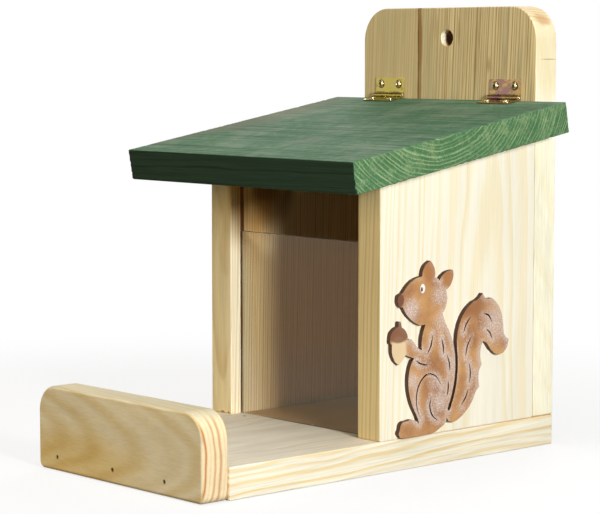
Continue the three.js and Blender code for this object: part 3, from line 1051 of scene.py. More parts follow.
@dataclass
class Piece:
    """A finished piece: what it is called, rides on, stands for and is finished with."""

    name: str
    body: Body
    stands_for: str
    slot: Slot
    finish: Finish

    def make(self, bm: BMesh, smooth: bool = True) -> None:
        """Makes the piece's object from its body in millimetres.

        Args:
            bm: The body. It is used up.
            smooth: Whether rounded edges are shaded as smooth.
        """
        bmesh.ops.scale(bm, vec=(MM,) * 3, verts=bm.verts[:])
        made = loose_object(self.name, bm)
        if smooth:
            made.data.shade_smooth()
            made.data.set_sharp_from_angle(angle=SHARP_ANGLE)
            made.modifiers.new("weighted", "WEIGHTED_NORMAL").keep_sharp = True
        made.data.materials.append(self.finish.material())
        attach(made, self.body.value)
        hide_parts(self.stands_for)
        LOG.info("%s: %d faces", self.name, len(made.data.polygons))


def dress(node: str, finish: Finish) -> None:
    """Gives a node that keeps its shape the material of a finish.

    Args:
        node: The node.
        finish: The finish.
    """
    mesh = frame["nodes"][node].data
    mesh.materials.clear()
    mesh.materials.append(finish.material())
    LOG.info("%s: dressed with %s", node, finish.name)


# Boards


@dataclass
class Board:
    """A planed board: a flat outline with round corners, drawn out to its thickness."""

    corners: Sequence[tuple[Vector, float]]
    depth: Vector
    arris: float
    corner_steps: int = 14
    arris_steps: int = 3

    @classmethod
    def upright(cls, node: str, foot: float, top: float, arris: float) -> "Board":
        """A board that stands across the feeder, in the place of a node.

        Args:
            node: The node.
            foot: The radius of its lower corners.
            top: The radius of its upper corners.
            arris: The radius of its edges.

        Returns:
            The board.
        """
        low, high = node_box(node)
        corners = ((low.x, low.z, foot), (high.x, low.z, foot),
                   (high.x, high.z, top), (low.x, high.z, top))
        return cls(
            [(Vector((x, low.y, z)), radius) for x, z, radius in corners],
            Vector((0, high.y - low.y, 0)), arris,
        )

    def shape(self) -> BMesh:
        """Draws the outline, gives it its thickness and rounds its corners and edges.

        Returns:
            The board's body.
        """
        bm = bmesh.new()
        face = bm.faces.new([bm.verts.new(point) for point, _ in self.corners])
        extruded(bm, [face], self.depth)
        cleaned(bm)
        for point, radius in self.corners:
            bevelled(bm, self.edges_at(bm, point), radius, self.corner_steps)
        bevelled(bm, self.rims(bm), self.arris, self.arris_steps)
        return cleaned(bm)

    def edges_at(self, bm: BMesh, point: Vector) -> list[BMEdge]:
        """Finds the edge that runs through the thickness at a corner.

        Args:
            bm: The board's body.
            point: The corner.

        Returns:
            The edge.
        """
        ends = (point, point + self.depth)
        return [
            edge for edge in bm.edges
            if all(min((v.co - end).length for end in ends) < MERGE_DISTANCE for v in edge.verts)
        ]

    def rims(self, bm: BMesh) -> list[BMEdge]:
        """Finds the edges round the board's two broad faces.

        Args:
            bm: The board's body.

        Returns:
            The edges.
        """
        across = self.depth.normalized()
        broad = {face for face in bm.faces if abs(face.normal.dot(across)) > SQUARE_ON}
        return [
            edge for edge in bm.edges
            if len(edge.link_faces) == 2 and len(broad.intersection(edge.link_faces)) == 1
        ]


@dataclass
class NailHole:
    """The hole of a nail that is set a little below the wood."""

    mouth_radius: float = 1.15
    bore_radius: float = 0.9
    mouth_depth: float = 1.0
    length: float = 42.2
    set_depth: float = 0.7
    overrun: float = 1.0
    steps: int = 20

    def cutter(self, node: str, direction: Vector) -> BMesh:
        """Makes the cutter for a nail's hole.

        Args:
            node: The nail.
            direction: The way it was driven.

        Returns:
            The hole's body.
        """
        low, high = node_box(node)
        half = (high - low).dot(direction) / 2
        start = (low + high) / 2 - direction * abs(half)
        body = spun([
            (0, -self.set_depth - self.overrun),
            (self.mouth_radius, -self.set_depth - self.overrun),
            (self.mouth_radius, self.mouth_depth),
            (self.bore_radius, self.mouth_depth),
            (self.bore_radius, self.length),
            (0, self.length),
        ], self.steps)
        turn = AXIS_Z.rotation_difference(direction).to_matrix().to_4x4()
        return moved(body, Matrix.Translation(start) @ turn)


RAIL_NAILS = tuple(f"front_rail_nail_{i}" for i in (1, 2, 3))
BACK_NAILS = tuple(f"back_board_nail_{i}" for i in (1, 2, 3))


def head_of(node: str, on_top: bool = False) -> Triple:
    """The middle of the head of a nail or screw.

    Args:
        node: The nail or screw.
        on_top: Whether the head is on its top, and not on its front.

    Returns:
        The point.
    """
    low, high = node_box(node)
    x, y, z = ((a + b) / 2 for a, b in zip(low, high))
    return (x, y, high.z) if on_top else (x, low.y, z)


def nail_stains(nodes: Iterable[str]) -> tuple[Spot, ...]:
    """Painted shade: dark rings round the nail heads on the front, for the shade in their sunk
    holes.

    Args:
        nodes: The nails.

    Returns:
        The spots.
    """
    return tuple(
        Spot(head_of(node), radii=(1.3, 2.4, 1.3), colour="#4a3418", softness=0.3, strength=0.6)
        for node in nodes
    )


def screw_spots(side: Side, radius: float, colour: str, softness: float) -> tuple[Spot, ...]:
    """Dark spots at the four screw heads of a hinge.

    Args:
        side: The hinge's side.
        radius: Their radius, mm.
        colour: Their colour.
        softness: The softness of their edges.

    Returns:
        The spots.
    """
    heads = [
        head_of(f"{side.word}_hinge_{kind}_screw_{i}", on_top=kind == "roof")
        for kind in ("wall", "roof") for i in (1, 2)
    ]
    return tuple(Spot(head, (radius,) * 3, colour, softness, strength=0.8) for head in heads)


def screw_grime(side: Side) -> tuple[Spot, ...]:
    """Painted shade: dark rings round the screw heads of a hinge, on its leaves."""
    return screw_spots(side, radius=3.0, colour="#33260f", softness=0.1)


def recess_grime() -> tuple[Spot, ...]:
    """Painted shade in the cross recesses of the hinge screws.

    Returns:
        The spots.
    """
    return tuple(
        spot for side in Side
        for spot in screw_spots(side, radius=1.25, colour="#2c2014", softness=0.35)
    )


@dataclass
class Woodwork:
    """The planed pine boards of the box and the nails in them.

    The hanging hole's wall is torn by a noise whose rhythm is per mm, in rows of points.
    """

    rail_corner: float = 15.0
    rail_foot: float = 4.0
    rail_arris: float = 1.8
    back_corner: float = 20.0
    back_foot: float = 1.2
    back_arris: float = 0.8
    hole_radius: float = 5.25
    hole_drop: float = 18.5
    hole_tear: float = 0.3
    hole_rhythm: float = 0.9
    hole_overrun: float = 1.0
    hole_rows: int = 12
    hole_steps: int = 48
    nail_hole: NailHole = field(default_factory=NailHole)

    def build(self) -> None:
        """Makes the rail and the back board anew and dresses the other boards and the nails."""
        self.rail()
        self.back_board()
        dress("base_board", BASE_PINE)
        dress("left_side_wall", LEFT_WALL_PINE)
        dress("right_side_wall", RIGHT_WALL_PINE)
        for node in frame["nodes"]:
            if "_nail_" in node:
                dress(node, NAIL_STEEL)

    def rail(self) -> None:
        """Makes the front rail, with sanded edges and three nail holes."""
        board = Board.upright("front_rail", self.rail_foot, self.rail_corner, self.rail_arris)
        holes = [self.nail_hole.cutter(node, AXIS_Y) for node in RAIL_NAILS]
        Piece("sanded_front_rail", Body.BOX, "front_rail", Slot.PINE, RAIL_PINE).make(
            without(board.shape(), holes)
        )

    def back_board(self) -> None:
        """Makes the back board, with its hanging hole and the nail holes."""
        board = Board.upright("back_board", self.back_foot, self.back_corner, self.back_arris)
        holes = [self.hanging_hole()]
        holes += [self.nail_hole.cutter(node, AXIS_Z) for node in BACK_NAILS]
        holes += [
            self.nail_hole.cutter(f"{side.word}_wall_back_nail_{i}", -AXIS_Y)
            for side in Side for i in (1, 2)
        ]
        Piece("planed_back_board", Body.BOX, "back_board", Slot.PINE, BACK_PINE).make(
            without(board.shape(), holes)
        )

    def hanging_hole(self) -> BMesh:
        """Makes the cutter of the hanging hole, with walls torn a little by the drill.

        Returns:
            The hole's body.
        """
        low, high = node_box("back_board")
        bm = bmesh.new()
        depth = high.y - low.y + 2 * self.hole_overrun
        bmesh.ops.create_cone(
            bm, cap_ends=True, segments=self.hole_steps, radius1=self.hole_radius,
            radius2=self.hole_radius, depth=depth,
        )
        rows = self.hole_rows
        sliced(bm, [(AXIS_Z, depth * (row / rows - 0.5)) for row in range(1, rows)])
        for vert in bm.verts:
            rough = noise.noise(vert.co * self.hole_rhythm) * self.hole_tear
            vert.co.xy *= 1 + rough / self.hole_radius
        centre = Vector((0, (low.y + high.y) / 2, high.z - self.hole_drop))
        return moved(bm, Matrix.Translation(centre) @ Matrix.Rotation(math.pi / 2, 4, "X"))


# Lid


@dataclass
class HingeLine:
    """The hinges' common axis, and the frame of the lid, which slopes with the roof."""

    slope: float = ROOF_SLOPE

    @property
    def origin(self) -> Vector:
        """A point on the axis in the feeder's middle plane, from the lid's joint."""
        joint = next(j for j in frame["joints"] if j["name"] == "lid_hinge")
        return Vector((0, *joint["pos_m"][1:])) * PER_METRE

    @property
    def lid(self) -> Matrix:
        """Takes points from the lid's own frame to the feeder's."""
        return Matrix.Translation(self.origin) @ Matrix.Rotation(self.slope, 4, "X")

    def wall_leaf(self, x: float) -> Matrix:
        """Takes points from the frame of a wall leaf at x to the feeder's."""
        place = self.origin + AXIS_X * x
        return Matrix.Translation(place) @ Matrix.Rotation(math.pi / 2, 4, "X")

    def roof_leaf(self, x: float) -> Matrix:
        """Takes points from the frame of a roof leaf at x to the feeder's."""
        turned = Matrix.Translation((x, 0, 0)) @ Matrix.Rotation(math.pi, 4, "Z")
        return self.lid @ turned


@dataclass
class Roof:
    """The stained roof board, whose ends are rough from the saw.

    Within a band at each end a fine noise tears the wood, and a coarser one, which begins
    elsewhere, chips the edges where it is over a least value. Their rhythms are per mm.
    """

    line: HingeLine
    arris: float = 0.6
    cell: float = 1.0
    end_band: float = 3.0
    tear: float = 0.5
    chip: float = 3.2
    torn_edge: float = 1.4
    tear_rhythm: float = 0.55
    chip_rhythm: float = 0.42
    chip_start: Triple = (9, 4, 2)
    chip_least: float = 0.05

    def build(self) -> None:
        """Makes the board in the lid's frame, tears its ends and lays it on the slope."""
        low, high = node_box("roof_board", self.line.lid.inverted())
        board = Board([
            (Vector((low.x, y, z)), self.arris)
            for y, z in ((low.y, low.z), (high.y, low.z), (high.y, high.z), (low.y, high.z))
        ], Vector((high.x - low.x, 0, 0)), self.arris, corner_steps=2, arris_steps=2)
        bm = board.shape()
        ends = (low.x + self.end_band, high.x - self.end_band)
        bands = [(AXIS_X, end + step) for end in ends for step in (-self.cell, 0, self.cell)]
        sliced(bm, bands + grid_cuts(low, high, self.cell))
        self.tear_ends(bm, low, high)
        Piece("stained_roof_board", Body.LID, "roof_board", Slot.GREEN_PINE, ROOF_PINE).make(
            moved(bm, self.line.lid)
        )

    def tear_ends(self, bm: BMesh, low: Vector, high: Vector) -> None:
        """Pushes the end faces in and out as a coarse saw leaves them, most at their edges.

        Args:
            bm: The board's body, divided into cells.
            low: Its lowest corner.
            high: Its highest corner.
        """
        for vert in bm.verts:
            inset = min(vert.co.x - low.x, high.x - vert.co.x)
            if inset > self.end_band:
                continue
            rim = min(vert.co.y - low.y, high.y - vert.co.y, vert.co.z - low.z, high.z - vert.co.z)
            edge = max(0.0, 1 - rim / self.torn_edge)
            fade = 1 - inset / self.end_band
            fine = abs(noise.noise(vert.co * self.tear_rhythm))
            chips = noise.noise(vert.co * self.chip_rhythm + Vector(self.chip_start))
            coarse = max(0.0, chips - self.chip_least)
            push = fade * (fine * self.tear + edge * coarse * self.chip)
            vert.co.x -= math.copysign(push, vert.co.x)


# Hinges


@dataclass
class LeafShape:
    """A hinge leaf bent from sheet: a plate with two rolled knuckles and two screw holes.

    In the leaf's own frame the pin's axis is the x axis, the plate reaches along +Y and its
    back faces -Z. Faces that meet under the flat angle are made one, and edges over the sharp
    angle get a burr.
    """

    length: float = 25.0
    reach: float = 10.8
    sheet: float = 0.7
    bore: float = 0.97
    gap: float = 0.35
    corner: float = 0.9
    corner_steps: int = 5
    burr: float = 0.09
    burr_steps: int = 2
    sharp: float = 0.9
    flat: float = math.radians(0.5)
    roll: float = math.radians(305)
    roll_steps: int = 30
    hole_radius: float = 1.4
    hole_steps: int = 32
    screw_spacing: float = 15.4
    screw_reach: float = 6.9
    knuckle_shares: tuple[float, ...] = (0.3, 0.19, 0.32, 0.19)

    @property
    def barrel(self) -> float:
        """Outer radius of the knuckles."""
        return self.bore + self.sheet

    def spans(self, first: int, mirrored: bool) -> list[tuple[float, float]]:
        """Where every second knuckle lies along the pin.

        Args:
            first: 0 to begin with the first knuckle from the left, 1 with the second.
            mirrored: Whether the leaf's frame is turned round, so that x runs the other way.

        Returns:
            The ends of each knuckle.
        """
        ends = [-self.length / 2]
        for share in self.knuckle_shares:
            ends.append(ends[-1] + share * self.length)
        pairs = [
            (ends[i] + self.gap / 2, ends[i + 1] - self.gap / 2)
            for i in range(first, len(self.knuckle_shares), 2)
        ]
        return sorted((-b, -a) for a, b in pairs) if mirrored else pairs

    def shape(self, spans: Sequence[tuple[float, float]]) -> BMesh:
        """Bends the leaf.

        Args:
            spans: The ends of its knuckles along the pin.

        Returns:
            The leaf's body.
        """
        bm = bmesh.new()
        half = self.length / 2
        stops = sorted({-half, half, *(x for span in spans for x in span)})
        start = self.barrel + self.gap
        rows = [
            [bm.verts.new((x, y, -self.barrel)) for x in stops] for y in (start, self.reach)
        ]
        faces = [
            bm.faces.new((rows[0][i], rows[0][i + 1], rows[1][i + 1], rows[1][i]))
            for i in range(len(stops) - 1)
        ]
        extruded(bm, faces, (0, 0, self.sheet))
        cleaned(bm)
        self.round_corners(bm)
        for span in spans:
            self.roll_knuckle(bm, span, start)
        bmesh.ops.dissolve_limit(
            bm, angle_limit=self.flat, verts=bm.verts[:], edges=bm.edges[:],
        )
        edges = [
            e for e in bm.edges if len(e.link_faces) == 2 and e.calc_face_angle() > self.sharp
        ]
        bevelled(bm, edges, self.burr, self.burr_steps)
        return without(cleaned(bm), [self.screw_hole(sign) for sign in (-1, 1)])

    def round_corners(self, bm: BMesh) -> None:
        """Rounds the plate's two far corners.

        Args:
            bm: The plate.
        """
        corners = [
            e for e in bm.edges
            if all(abs(abs(v.co.x) - self.length / 2) < MERGE_DISTANCE for v in e.verts)
            and all(abs(v.co.y - self.reach) < MERGE_DISTANCE for v in e.verts)
        ]
        bevelled(bm, corners, self.corner, self.corner_steps)

    def roll_knuckle(self, bm: BMesh, span: tuple[float, float], start: float) -> None:
        """Draws a strip of the plate's edge under the pin and rolls it round the pin.

        Args:
            bm: The plate.
            span: The knuckle's ends along the pin.
            start: How far from the pin's axis the plate begins.
        """
        middle = sum(span) / 2
        edge_face = next(
            face for face in bm.faces
            if face.normal.y < -SQUARE_ON
            and abs(face.calc_center_median().x - middle) < self.gap / 2
            and abs(face.calc_center_median().y - start) < MERGE_DISTANCE
        )
        drawn = extruded(bm, [edge_face], (0, -start, 0))
        if edge_face.is_valid:
            bmesh.ops.delete(bm, geom=[edge_face], context="FACES_ONLY")
        tip = next(part for part in drawn if isinstance(part, bmesh.types.BMFace))
        bmesh.ops.spin(
            bm, geom=[tip, *tip.edges, *tip.verts], cent=(0, 0, 0), axis=AXIS_X, angle=-self.roll,
            steps=self.roll_steps, use_merge=False, use_duplicate=False,
        )

    def screw_hole(self, sign: int) -> BMesh:
        """Makes the cutter of a screw hole.

        Args:
            sign: Which way along the pin it lies.

        Returns:
            The hole's body.
        """
        bm = bmesh.new()
        place = Matrix.Translation((sign * self.screw_spacing / 2, self.screw_reach, -self.barrel))
        bmesh.ops.create_cone(
            bm, cap_ends=True, segments=self.hole_steps, radius1=self.hole_radius,
            radius2=self.hole_radius, depth=4 * self.sheet, matrix=place,
        )
        return bm


@dataclass
class ScrewShape:
    """A domed screw with a cross recess. Its frame has the head's seat at the origin, +Z out.

    The screws of a leaf are driven home a turn step apart, in radians.
    """

    radius: float = 2.35
    height: float = 0.95
    rim: float = 0.25
    seat: float = 0.26
    chamfer: float = 0.12
    shank: float = 1.1
    length: float = 12.0
    point: float = 2.4
    recess_length: float = 2.8
    recess_width: float = 0.6
    recess_depth: float = 0.55
    recess_turn: float = 0.4
    recess_taper: Triple = (0.55, 0.7, 1)
    dome_steps: int = 8
    steps: int = 36
    turn_step: float = 1.1

    def shape(self) -> BMesh:
        """Turns the screw and cuts its recess.

        Returns:
            The screw's body.
        """
        rise = self.height - self.rim
        dome = [
            (self.radius * math.cos(a), self.rim + rise * math.sin(a))
            for a in quarter_turn(self.dome_steps)
        ]
        body = spun([
            (0, -self.length),
            (self.shank, self.point - self.length),
            (self.shank, -self.seat),
            (self.radius - self.chamfer, -self.seat),
            (self.radius, self.chamfer - self.seat),
            *dome,
            (0, self.height),
        ], self.steps)
        return without(body, [self.recess(turn) for turn in (0, math.pi / 2)])

    def recess(self, turn: float) -> BMesh:
        """Makes the cutter of one arm of the cross recess, narrower at its floor.

        Args:
            turn: The arm's angle from the first.

        Returns:
            The arm's body.
        """
        bm = bmesh.new()
        bmesh.ops.create_cube(bm, size=1)
        size = (self.recess_length, self.recess_width, 2 * self.recess_depth)
        bmesh.ops.scale(bm, vec=size, verts=bm.verts[:])
        floor = [v for v in bm.verts if v.co.z < 0]
        bmesh.ops.scale(bm, vec=self.recess_taper, verts=floor)
        spin = Matrix.Rotation(turn + self.recess_turn, 4, "Z")
        return moved(bm, Matrix.Translation((0, 0, self.height)) @ spin)


@dataclass
class Hinges:
    """The two small butt hinges: leaves, pins and screws."""

    line: HingeLine
    leaf: LeafShape = field(default_factory=LeafShape)
    screw: ScrewShape = field(default_factory=ScrewShape)
    pin_radius: float = 0.75
    pin_overhang: float = 0.45
    pin_dome: float = 0.6
    pin_dome_steps: int = 6
    pin_steps: int = 28

    def build(self) -> None:
        """Makes both hinges where their pins are."""
        for side in Side:
            low, high = node_box(f"{side.word}_hinge_pin")
            x = (low.x + high.x) / 2
            zinc = LEFT_ZINC if side is Side.LEFT else RIGHT_ZINC
            self.leaf_with_screws(side, "wall", self.line.wall_leaf(x), Body.BOX, zinc)
            self.leaf_with_screws(side, "roof", self.line.roof_leaf(x), Body.LID, zinc)
            self.pin(side, x)

    def leaf_with_screws(
        self, side: Side, kind: str, place: Matrix, body: Body, zinc: Finish,
    ) -> None:
        """Makes a leaf and its two screws.

        Args:
            side: The hinge's side.
            kind: wall or roof.
            place: Takes points from the leaf's frame to the feeder's.
            body: What the leaf is screwed to.
            zinc: The finish of the hinge.
        """
        on_roof = kind == "roof"
        plate = self.leaf.shape(self.leaf.spans(0 if on_roof else 1, mirrored=on_roof))
        node = f"{side.word}_hinge_{kind}"
        Piece(f"{node}_plate", body, f"{node}_leaf", Slot.ZINC, zinc).make(moved(plate, place))
        seat = self.leaf.sheet - self.leaf.barrel + self.screw.seat
        for i, sign in enumerate((-1, 1), start=1):
            head = Matrix.Translation(
                (sign * self.leaf.screw_spacing / 2, self.leaf.screw_reach, seat)
            )
            turn = Matrix.Rotation(self.screw.turn_step * i + side.value, 4, "Z")
            screw = f"{node}_screw_{i}"
            Piece(f"{screw}_head", body, screw, Slot.ZINC, SCREW_ZINC).make(
                moved(self.screw.shape(), place @ head @ turn)
            )

    def pin(self, side: Side, x: float) -> None:
        """Makes a pin with domed ends that stand out of the knuckles.

        Args:
            side: The hinge's side.
            x: The pin's middle.
        """
        half = self.leaf.length / 2 + self.pin_overhang
        dome = [
            (self.pin_radius * math.cos(a),
             half - self.pin_radius * self.pin_dome * (1 - math.sin(a)))
            for a in quarter_turn(self.pin_dome_steps)
        ]
        profile = [(0, -half), *((r, -z) for r, z in reversed(dome)), *dome, (0, half)]
        place = Matrix.Translation(self.line.origin + AXIS_X * x)
        rod = moved(spun(profile, self.pin_steps), place @ Matrix.Rotation(math.pi / 2, 4, "Y"))
        name = f"{side.word}_hinge_pin"
        Piece(f"{name}_rod", Body.BOX, name, Slot.STEEL, PIN_STEEL).make(rod)


# Squirrel cut-out


@dataclass(frozen=True)
class Brush:
    """A soft stroke of frost on the squirrel.

    Its place and its reach are shares of the squirrel's length and height.
    """

    at: tuple[float, float]
    reach: float
    strength: float = 1.0


@dataclass
class Squirrel:
    """The flat squirrel, with frost brushed over its stain.

    The frost along its outline is least where the edge faces away from the frosted way, and
    fades out over the rim's reach, in mm.
    """

    cell: float = 1.3
    rim_reach: float = 4.0
    rim_frost: float = 0.85
    rim_least: float = 0.3
    frosted_way: Vector = field(default_factory=lambda: Vector((0, 0.8, 0.35)))
    brushes: tuple[Brush, ...] = (
        Brush((0.88, 0.6), 0.15, 0.8),
        Brush((0.17, 0.73), 0.08, 0.9),
        Brush((0.41, 0.8), 0.08, 0.8),
        Brush((0.42, 0.64), 0.08, 0.7),
        Brush((0.18, 0.32), 0.06, 0.9),
        Brush((0.36, 0.29), 0.07, 0.6),
        Brush((0.41, 0.18), 0.08, 0.9),
        Brush((0.5, 0.4), 0.06, 0.9),
        Brush((0.71, 0.32), 0.06, 0.7),
        Brush((0.6, 0.12), 0.06, 0.6),
    )

    def build(self) -> None:
        """Makes the squirrel from its node's outline."""
        bm = bmesh.new()
        bm.from_mesh(frame["nodes"]["squirrel_figure"].data)
        bmesh.ops.scale(bm, vec=(PER_METRE,) * 3, verts=bm.verts[:])
        cleaned(bm)
        low, high = node_box("squirrel_figure")
        outline = [self.stretch(edge) for edge in bm.edges if self.on_rim(edge, high.x)]
        sliced(bm, grid_cuts(low, high, self.cell))
        self.brush(bm, low, high, outline)
        Piece(
            "squirrel_cut_out", Body.BOX, "squirrel_figure", Slot.PLYWOOD, FIGURE_PLYWOOD,
        ).make(bm, smooth=False)

    def on_rim(self, edge: BMEdge, front: float) -> bool:
        """Whether an edge lies between the front face and a cut edge."""
        flat = [face.normal.x > SQUARE_ON for face in edge.link_faces]
        return all(abs(v.co.x - front) < MERGE_DISTANCE for v in edge.verts) and sum(flat) == 1

    def stretch(self, edge: BMEdge) -> tuple[np.ndarray, np.ndarray, float]:
        """The frost along an edge of the outline, most where it faces up and back.

        Args:
            edge: The edge.

        Returns:
            Its two ends and its frost.
        """
        side = min(edge.link_faces, key=lambda face: face.normal.x).normal
        lit = max(0.0, side.dot(self.frosted_way.normalized()))
        start, end = (np.array(vert.co.yz[:]) for vert in edge.verts)
        return start, end, self.rim_frost * (self.rim_least + (1 - self.rim_least) * lit)

    def brush(
        self,
        bm: BMesh,
        low: Vector,
        high: Vector,
        outline: Sequence[tuple[np.ndarray, np.ndarray, float]],
    ) -> None:
        """Stores how much frost each point has.

        Args:
            bm: The squirrel's body, cut by the grid.
            low: Its lowest corner.
            high: Its highest corner.
            outline: Stretches of the front outline, each with its frost.
        """
        layer = bm.verts.layers.float.new("frost")
        points = np.array([vert.co.yz[:] for vert in bm.verts])
        frost = np.zeros(len(points))
        for start, end, amount in outline:
            line = end - start
            share = np.clip(((points - start) @ line) / max(line @ line, MERGE_DISTANCE), 0, 1)
            away = np.linalg.norm(points - start - share[:, None] * line, axis=1)
            frost = np.maximum(frost, amount * np.exp(-(away / self.rim_reach) ** 2))
        size = high - low
        shares = (points - np.array([low.y, low.z])) / np.array([size.y, size.z])
        for stroke in self.brushes:
            away = np.linalg.norm(shares - np.array(stroke.at), axis=1)
            frost = np.maximum(frost, stroke.strength * np.exp(-(away / stroke.reach) ** 2))
        for vert, amount in zip(bm.verts, frost):
            vert[layer] = float(amount)


# The finishes of this feeder

RAIL_PINE = SawnTimber(
    name="sanded_pine_rail",
    log=Log(
        pith=(0, -192.4, 22), run=(1, -0.12, 0), ring=3.4, wander=0.8,
        late_from=0.05, late_to=0.55,
    ),
    width_axis=(0, 0, 1),
    broad=Tone("#faeecb", "#dfc06a", 0.55),
    edge=Tone("#dfd4b3", "#d3bd8c", 0.5),
    end=Tone("#f2deb4", "#c6884c", 1.0, thinness=1.6),
    fibre_shade=0.07,
    spots=(
        Spot((-40, -136, 9), (52, 5, 15), "#fbefcb", 0.5, glaze=True),
        *nail_stains(RAIL_NAILS),
    ),
)
BACK_PINE = SawnTimber(
    name="planed_pine_back",
    log=Log(pith=(-170, 150, 0), run=(0.05, 0.01, 1), ring=2.2, wander=0.35, late_from=0.5),
    width_axis=(1, 0, 0),
    # Painted light: the side edges, which the key lamp lights, get a paler tone than the broad
    # faces.
    broad=Tone("#d5c394", "#9a7438", 1.0),
    edge=Tone("#fef9de", "#f6e9ba", 0.4),
    end=Tone("#f0dcae", "#cf9c5c", 0.9),
    fades=(
        Fade("#b9b28a", 130, 9, 0.4, 0.5, 21.7),
        Fade("#94703e", 55, 4, 0.22, 0.35, 5.9),
        Fade("#86602e", 170, 1.3, 0.25, 0.35, 33.1),
    ),
    spots=(
        Spot((-50, 118, 225), (36, 8, 70), "#cbb989", 0.5, 0.62),
        Spot((-23.3, 118, 200), (1.4, 5, 150), "#94703f", 0.35, 0.75, 0.6),
        Spot((-23.2, 118, 243), (2.0, 5, 17), "#94703f", 0.3, 0.75, 0.5),
        Spot((-24.6, 118, 200), (0.5, 5, 150), "#6f4a24", 0.5, 0.8, 0.9),
        Spot((73, 128, 243), (5, 14, 36), "#e9d39c", 0.35, 0.55),
        Spot((66, 128, 254), (10, 5, 3.5), "#c98f4c", 0.5, 0.6, 1.2),
        Spot((10, 118, 247), (1.2, 5, 7), "#8a6a3a", 0.8, 0.4, 0.6),
        Spot((35, 118, 227), (1.4, 5, 4), "#8a6a3a", 0.8, 0.5, 0.6),
        Spot((73, 130, 230.7), (1.5, 6.5, 0.3), "#a98a5c", 0.5, 0.7),
        # Painted shade: the wall of the hanging hole is a dark red-brown.
        Spot((0, 130, 243.5), (6.8, 11, 6.8), "#7a4630", 0.07, 0.95),
    ),
)
RIGHT_WALL_PINE = SawnTimber(
    name="planed_pine_right_wall",
    log=Log(pith=(171, 78, 100), run=(0.01, 0.02, 1), ring=2.3, wander=0.5, late_from=0.3),
    width_axis=(0, 1, 0),
    # Painted light: the faces across x, which the key lamp lights, get a paler tone than the front
    # and back edges.
    broad=Tone("#f9f3de", "#f3dfa8", 0.65),
    edge=Tone("#e0cc98", "#bea064", 0.65),
    end=Tone("#efdcae", "#cf9c5c", 0.9),
    fibre_shade=0.06,
    cloud_shade=0.04,
)
LEFT_WALL_PINE = SawnTimber(
    name="planed_pine_left_wall",
    log=Log(pith=(-61, -75, 100), run=(0.01, 0.02, 1), ring=1.6, wander=0.5, late_from=0.4),
    width_axis=(0, 1, 0),
    # Painted light: the faces across x, which the key lamp lights, get a paler tone than the front
    # and back edges.
    broad=Tone("#fdf4d4", "#d0a05c", 0.9),
    edge=Tone("#ecdcae", "#d6b980", 0.6),
    end=Tone("#efdcae", "#cf9c5c", 0.9),
    cloud_shade=0.06,
    spots=(
        # Painted shade: these two glazes darken the inner face inside the box, the deeper part
        # more and bluer.
        Spot((-55, 80, 100), (4, 76, 130), "#f9f0d5", 0.1, glaze=True),
        Spot((-55, 84, 100), (4, 60, 130), "#c6c0d0", 0.2, glaze=True),
        # Painted shade: the roof's shadow over the front of the inner face, and more of it over
        # the lit patch above the pane.
        Spot((-55, 10, 186), (4, 21, 70), "#d4b68c", 0.3, glaze=True),
        Spot((-55, 25, 162), (4, 17, 32), "#b2a492", 0.25, glaze=True),
        # Painted light: the lit strip in front of the groove is made paler low down.
        Spot((-55, -8, 78), (4, 5, 58), "#fff2d2", 0.3, 0.45),
        # Painted shade: the roof's shadow at the top of that strip, warmer.
        Spot((-55, -5, 186), (4, 10, 50), "#f0d8aa", 0.5, 0.8, glaze=True),
        # Painted shade: the window groove is an orange-brown.
        Spot((-60, 0.5, 100), (5.2, 3.9, 130), "#9a5420", 0.05, 0.85),
        # Painted shade: dark dashes under the wall's foot at its front, where it meets the base.
        Spot((-63, -8.5, 19), (1.6, 1.5, 0.5), "#4f3d22", 0.4, 0.8),
        Spot((-57.5, -8.5, 19), (0.9, 1.5, 0.5), "#4f3d22", 0.4, 0.8),
    ),
)
BASE_PINE = SawnTimber(
    name="planed_pine_base",
    log=Log(pith=(15, 0, -62), run=(0.01, 1, 0.03), ring=3.6, wander=2.2, late_from=0.3),
    width_axis=(1, 0, 0),
    broad=Tone("#f4ead5", "#e8d7b7", 0.6),
    edge=Tone("#f6efd8", "#eccf8c", 0.9),
    end=Tone("#efdcae", "#cf9c5c", 0.9),
    spots=(
        # Painted shade: the floor inside the box, behind the pane, is a darker orange-brown.
        Spot((0, 317, 18), (600, 315.5, 0.4), "#cf9850", 0.004, 0.66),
        Spot((-45.8, -5.9, 18), (0.9, 0.9, 1.5), "#3d3226"),
        Spot((3.6, 5.6, 18), (1.1, 0.8, 1.2), "#fdf6e6"),
    ),
)
ROOF_PINE = SawnTimber(
    name="green_stained_pine_roof",
    log=Log(pith=(0, 10, 238), run=(1, 0.01, 0.01), ring=2.35, wander=0.9, late_from=0.5),
    width_axis=(0, math.cos(ROOF_SLOPE), math.sin(ROOF_SLOPE)),
    # Partly painted sheen: the top's tone is paler than the stain on the front edge, which is
    # partly stain itself.
    broad=Tone("#5d7e61", "#416d4d", 0.8),
    edge=Tone("#253b2c", "#18281e", 0.8),
    end=Tone("#4a734a", "#a4ba88", 0.78),
    roughness=0.75,
    gloss=0.12,
    cloud_shade=0.12,
    fibre_shade=0.22,
    end_fuzz=0.24,
    fades=(
        Fade("#97a48f", 34, 45, 0.4, 0.32, 3.1),
        Fade("#447a58", 50, 20, 0.35, 0.3, 11.7),
        Fade("#a3b19d", 4, 4, 0.35, 0.15, 41.3),
        Fade("#2c4e35", 220, 2.2, 0.32, 0.6, 27.9),
    ),
    end_fades=(
        Fade("#48734c", 60, 9, 0.5, 0.5, 13.1),
        Fade("#94a878", 60, 7, 0.25, 0.35, 52.7),
    ),
    spots=(
        Spot((-100, 60, 195), (26, 80, 30), "#857d6a", 0.5, 0.5, 0.8),
        Spot((53.7, 101, 203.3), (0.7, 0.5, 1), "#d3e6cf"),
    ),
)
